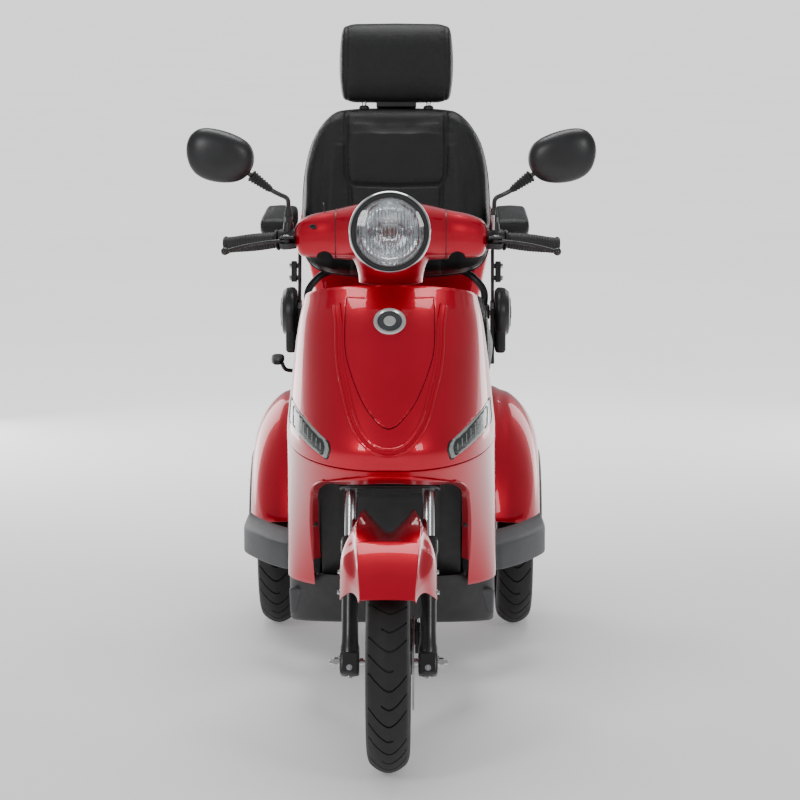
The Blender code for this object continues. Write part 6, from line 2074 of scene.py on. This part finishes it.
def build_back_frame():
    """Steel frame behind the backrest, with the brackets that carry the armrests."""
    plate = settle(slab("back_plate", (-0.15, -0.17, -0.0055), (0.15, 0.17, 0.0055), COAT, 0.003, 3),
        on_back(0.0, 0.26, -0.02), pi / 2 - BACK_LEAN)
    parts = []
    for _, side in SIDES:
        parts.append(slab("strap", (0.19 * side, 0.4212, 0.7252), (0.2153 * side, 0.4588, 0.7558), COAT,
            0.003, 3))
        parts.append(rod("pin", Vector((0.2 * side, RECLINE.y, RECLINE.z)),
            Vector((0.2324 * side, RECLINE.y, RECLINE.z)), 0.0077, STEEL, 40))
        route = [on_back(0.138 * side, 0.1, -0.024), on_back(0.175 * side, 0.085, -0.024),
            on_back(0.202 * side, 0.05, -0.012), Vector((0.2025 * side, RECLINE.y, RECLINE.z + 0.008))]
        parts.append(pipe("back_arm", smooth_path(route, 8), 0.0083, COAT, 28))
        parts.append(rod("arm_bar", on_back(0.138 * side, 0.165, -0.0205),
            on_back(0.2288 * side, 0.165, -0.0205), 0.0049, COAT, 28))
        lug = on_back(0.0, 0.165, -0.02)
        parts.append(turned("arm_lug", mm((0, 222.6), (13, 222.6), (13.9, 223.5), (13.9, 227.5), (13, 228.4),
            (0, 228.4)), Vector((0.0, lug.y, lug.z)), X_AXIS * side, COAT, 48))
    for x in (-0.12, 0.12):
        for up in (0.115, 0.405):
            parts.append(turned("plate_screw", mm((0, -1), (5.8, -1), (5.8, 1.2), (4, 3), (0, 3.4)),
                on_back(x, up, -0.0258), BACK_FRONT * -1.0, STEEL, 32))
    # armrest brackets: uprights between the recline hinge and the armrest pivot
    for _, side in SIDES:
        for low, high, near, far, front in ((-0.012, 0.08, 0.219, 0.2262, 0.014),
                (0.068, 0.146, 0.219, 0.2262, 0.016), (0.07, 0.118, 0.229, 0.242, 0.01)):
            bar = slab("bracket", (near * side, -front, low), (far * side, front, high), COAT, 0.0018, 2)
            parts.append(settle(bar, on_back(0.0, 0.0, -0.02), -BACK_LEAN))
        for up in (0.08, 0.108):
            parts.append(turned("bracket_bolt", mm((0, 220), (6.2, 220), (6.2, 245), (5, 247), (0, 247)),
                Vector((0.0, *on_back(0.0, up, -0.02).yz)), X_AXIS * side, STEEL, 6))
    place(join(plate, *parts), "backrest", "black_metal", ("backrest_frame",))


def build_arm_rails():
    """Folding armrest arms."""
    middle_y, middle_z = on_back(0.0, 0.165, -0.02).yz
    for label, side in SIDES:
        pivot = Vector((0.236 * side, middle_y, middle_z))
        hub = turned("arm_hub", mm((0, -6.7), (15, -6.7), (16, -5.7), (16, 6.5), (14.5, 7.9), (0, 7.9)),
            pivot, X_AXIS * side, COAT, 56)
        route = [pivot + X_AXIS * side * 0.004, pivot + Vector((0.003 * side, -0.03, 0.02)),
            Vector((0.25 * side, 0.445, 0.908)), Vector((0.254 * side, 0.4, 0.917)),
            Vector((0.258 * side, 0.23, 0.917))]
        rail = pipe("arm_rail", smooth_path(route, 10), 0.0084, COAT, 32)
        plate = slab("arm_plate", (0.232 * side, 0.225, 0.9192), (0.284 * side, 0.44, 0.9295), COAT, 0.002, 2)
        cap = turned("hub_cap", mm((0, 7.8), (7, 7.8), (7, 9.6), (5, 10.8), (0, 11)), pivot, X_AXIS * side,
            STEEL, 40)
        place(join(hub, rail, plate, cap), "armrest_" + label, "black_metal", ("armrest_arm_" + label,))


def build_battery():
    """Battery under the front of the body, with ribs, strap and terminals."""
    case = slab("battery_case", (-0.112, 0.142, 0.182), (0.112, 0.332, 0.3496), CASE, 0.006, 4)
    strap = slab("battery_strap", (-0.06, 0.22, 0.345), (0.06, 0.26, 0.3616), GRIP, 0.004, 3)
    ribs = []
    for side in (-1.0, 1.0):
        for k in range(7):
            y = 0.16 + 0.026 * k
            ribs.append(slab("case_rib", (0.111 * side, y - 0.003, 0.2), (0.1132 * side, y + 0.003, 0.33),
                CASE, 0.001, 2))
    for x in (-0.085, 0.085):
        ribs.append(turned("terminal", mm((0, -2), (7.5, -2), (7.5, 6), (6, 8.5), (0, 8.5)),
            Vector((x, 0.165, 0.3496)), Z_AXIS, BRASS, 32))
    place(join(case, strap, *ribs), "root", "black_plastic", ("battery_pack",))


# ---------------------------------------------------------------- stage, light, camera


LIGHTS = (
    # name, place, aim, width, height, power
    ("back_left", (-1.9, 2.6, 1.3), (0.0, 0.0, 0.7), 1.4, 2.6, 44.0),
    ("back_right", (2.1, 2.9, 1.3), (0.0, 0.0, 0.7), 1.0, 2.6, 24.0),
    ("front_left", (-2.4, -3.9, 2.6), (0.0, -0.2, 0.6), 0.9, 1.4, 50.0),
    ("front_right", (2.8, -3.9, 2.6), (0.0, -0.2, 0.6), 0.9, 1.4, 38.0),
    ("top", (0.0, 0.7, 3.8), (0.0, 0.1, 0.8), 2.6, 1.6, 85.0),
)


def build_stage():
    """Pale floor, even background and five soft lights."""
    floor = bmesh.new()
    bmesh.ops.create_grid(floor, x_segments=1, y_segments=1, size=260.0)
    ground = link("floor", floor, None, 0.0)
    look = Nodes("pale_floor")
    shade = look.ramp(look.noise(0.8, 4.0), ((0.3, (0.86, 0.86, 0.86)), (0.7, (0.9, 0.9, 0.9))))
    look.colour(shade)
    look.link(shade, look.shader.inputs["Emission Color"])
    look.set(Roughness=0.9, Specular_IOR_Level=0.0)
    # the sweep is lit brighter behind the machine than around it
    split = look.tree.nodes.new("ShaderNodeSeparateXYZ")
    look.link(look.coords, split.inputs["Vector"])
    glow = look.tree.nodes.new("ShaderNodeMapRange")
    glow.interpolation_type = "SMOOTHSTEP"
    for name, value in (("From Min", 0.6), ("From Max", 3.6), ("To Min", 0.22), ("To Max", 1.25)):
        glow.inputs[name].default_value = value
    look.link(split.outputs["Y"], glow.inputs["Value"])
    look.link(glow.outputs["Result"], look.shader.inputs["Emission Strength"])
    ground.data.materials.append(look.material)

    world = bpy.data.worlds.new("studio")
    world.use_nodes = True
    world.node_tree.nodes["Background"].inputs["Color"].default_value = (0.97, 0.98, 1.0, 1.0)
    world.node_tree.nodes["Background"].inputs["Strength"].default_value = 0.36
    bpy.context.scene.world = world

    for name, at, aim, wide, high, power in LIGHTS:
        lamp = bpy.data.lights.new(name, "AREA")
        lamp.shape = "RECTANGLE"
        lamp.size, lamp.size_y, lamp.energy = wide, high, power
        made = bpy.data.objects.new(name, lamp)
        made.location = at
        made.rotation_euler = (Vector(aim) - Vector(at)).to_track_quat("-Z", "Y").to_euler()
        bpy.context.scene.collection.objects.link(made)


def build_camera():
    """Long lens, a little above the machine and almost straight ahead of it."""
    data = bpy.data.cameras.new("camera")
    data.sensor_width, data.lens = 36.0, 115.8
    camera = bpy.data.objects.new("camera", data)
    look_down, look_aside = 9.46, 0.62
    camera.location = (0.073, -5.436, 1.513)
    camera.rotation_euler = (radians(90.0 - look_down), 0.0, radians(look_aside))
    bpy.context.scene.collection.objects.link(camera)
    bpy.context.scene.camera = camera


CAD_LOOKS = {"body_red": RED, "grey_plastic": GREY, "black_plastic": BLACK, "black_metal": COAT,
    "steel": STEEL, "trim_chrome": CHROME, "cast_alloy": ALLOY, "grip_rubber": GRIP, "tyre_rubber": TYRE,
    "black_leather": LEATHER, "clear_lens": CLEAR, "smoked_lens": SMOKE, "red_lens": TAIL}


def dress_cad():
    """Give every CAD node that stays the material of its slot."""
    for node in frame["nodes"].values():
        for item in node.material_slots:
            item.material = CAD_LOOKS[item.material.name.split(".")[0]]


def main():
    """Build everything once."""
    for build in (dress_cad, build_wheels, build_fork, build_fender, build_caliper, build_shield,
            build_fairing, build_inner_panel, build_nacelle, build_lamp, build_handlebar, build_controls,
            build_mirrors, build_backrest, build_headrest, build_seat_cushion, build_armrests, build_footwell,
            build_side_skirts, build_rear_body, build_rear_fenders, build_top_box, build_tail,
            build_frame_tubes, build_drive, build_seat_base, build_back_frame, build_arm_rails, build_battery,
            build_stage, build_camera):
        build()


main()
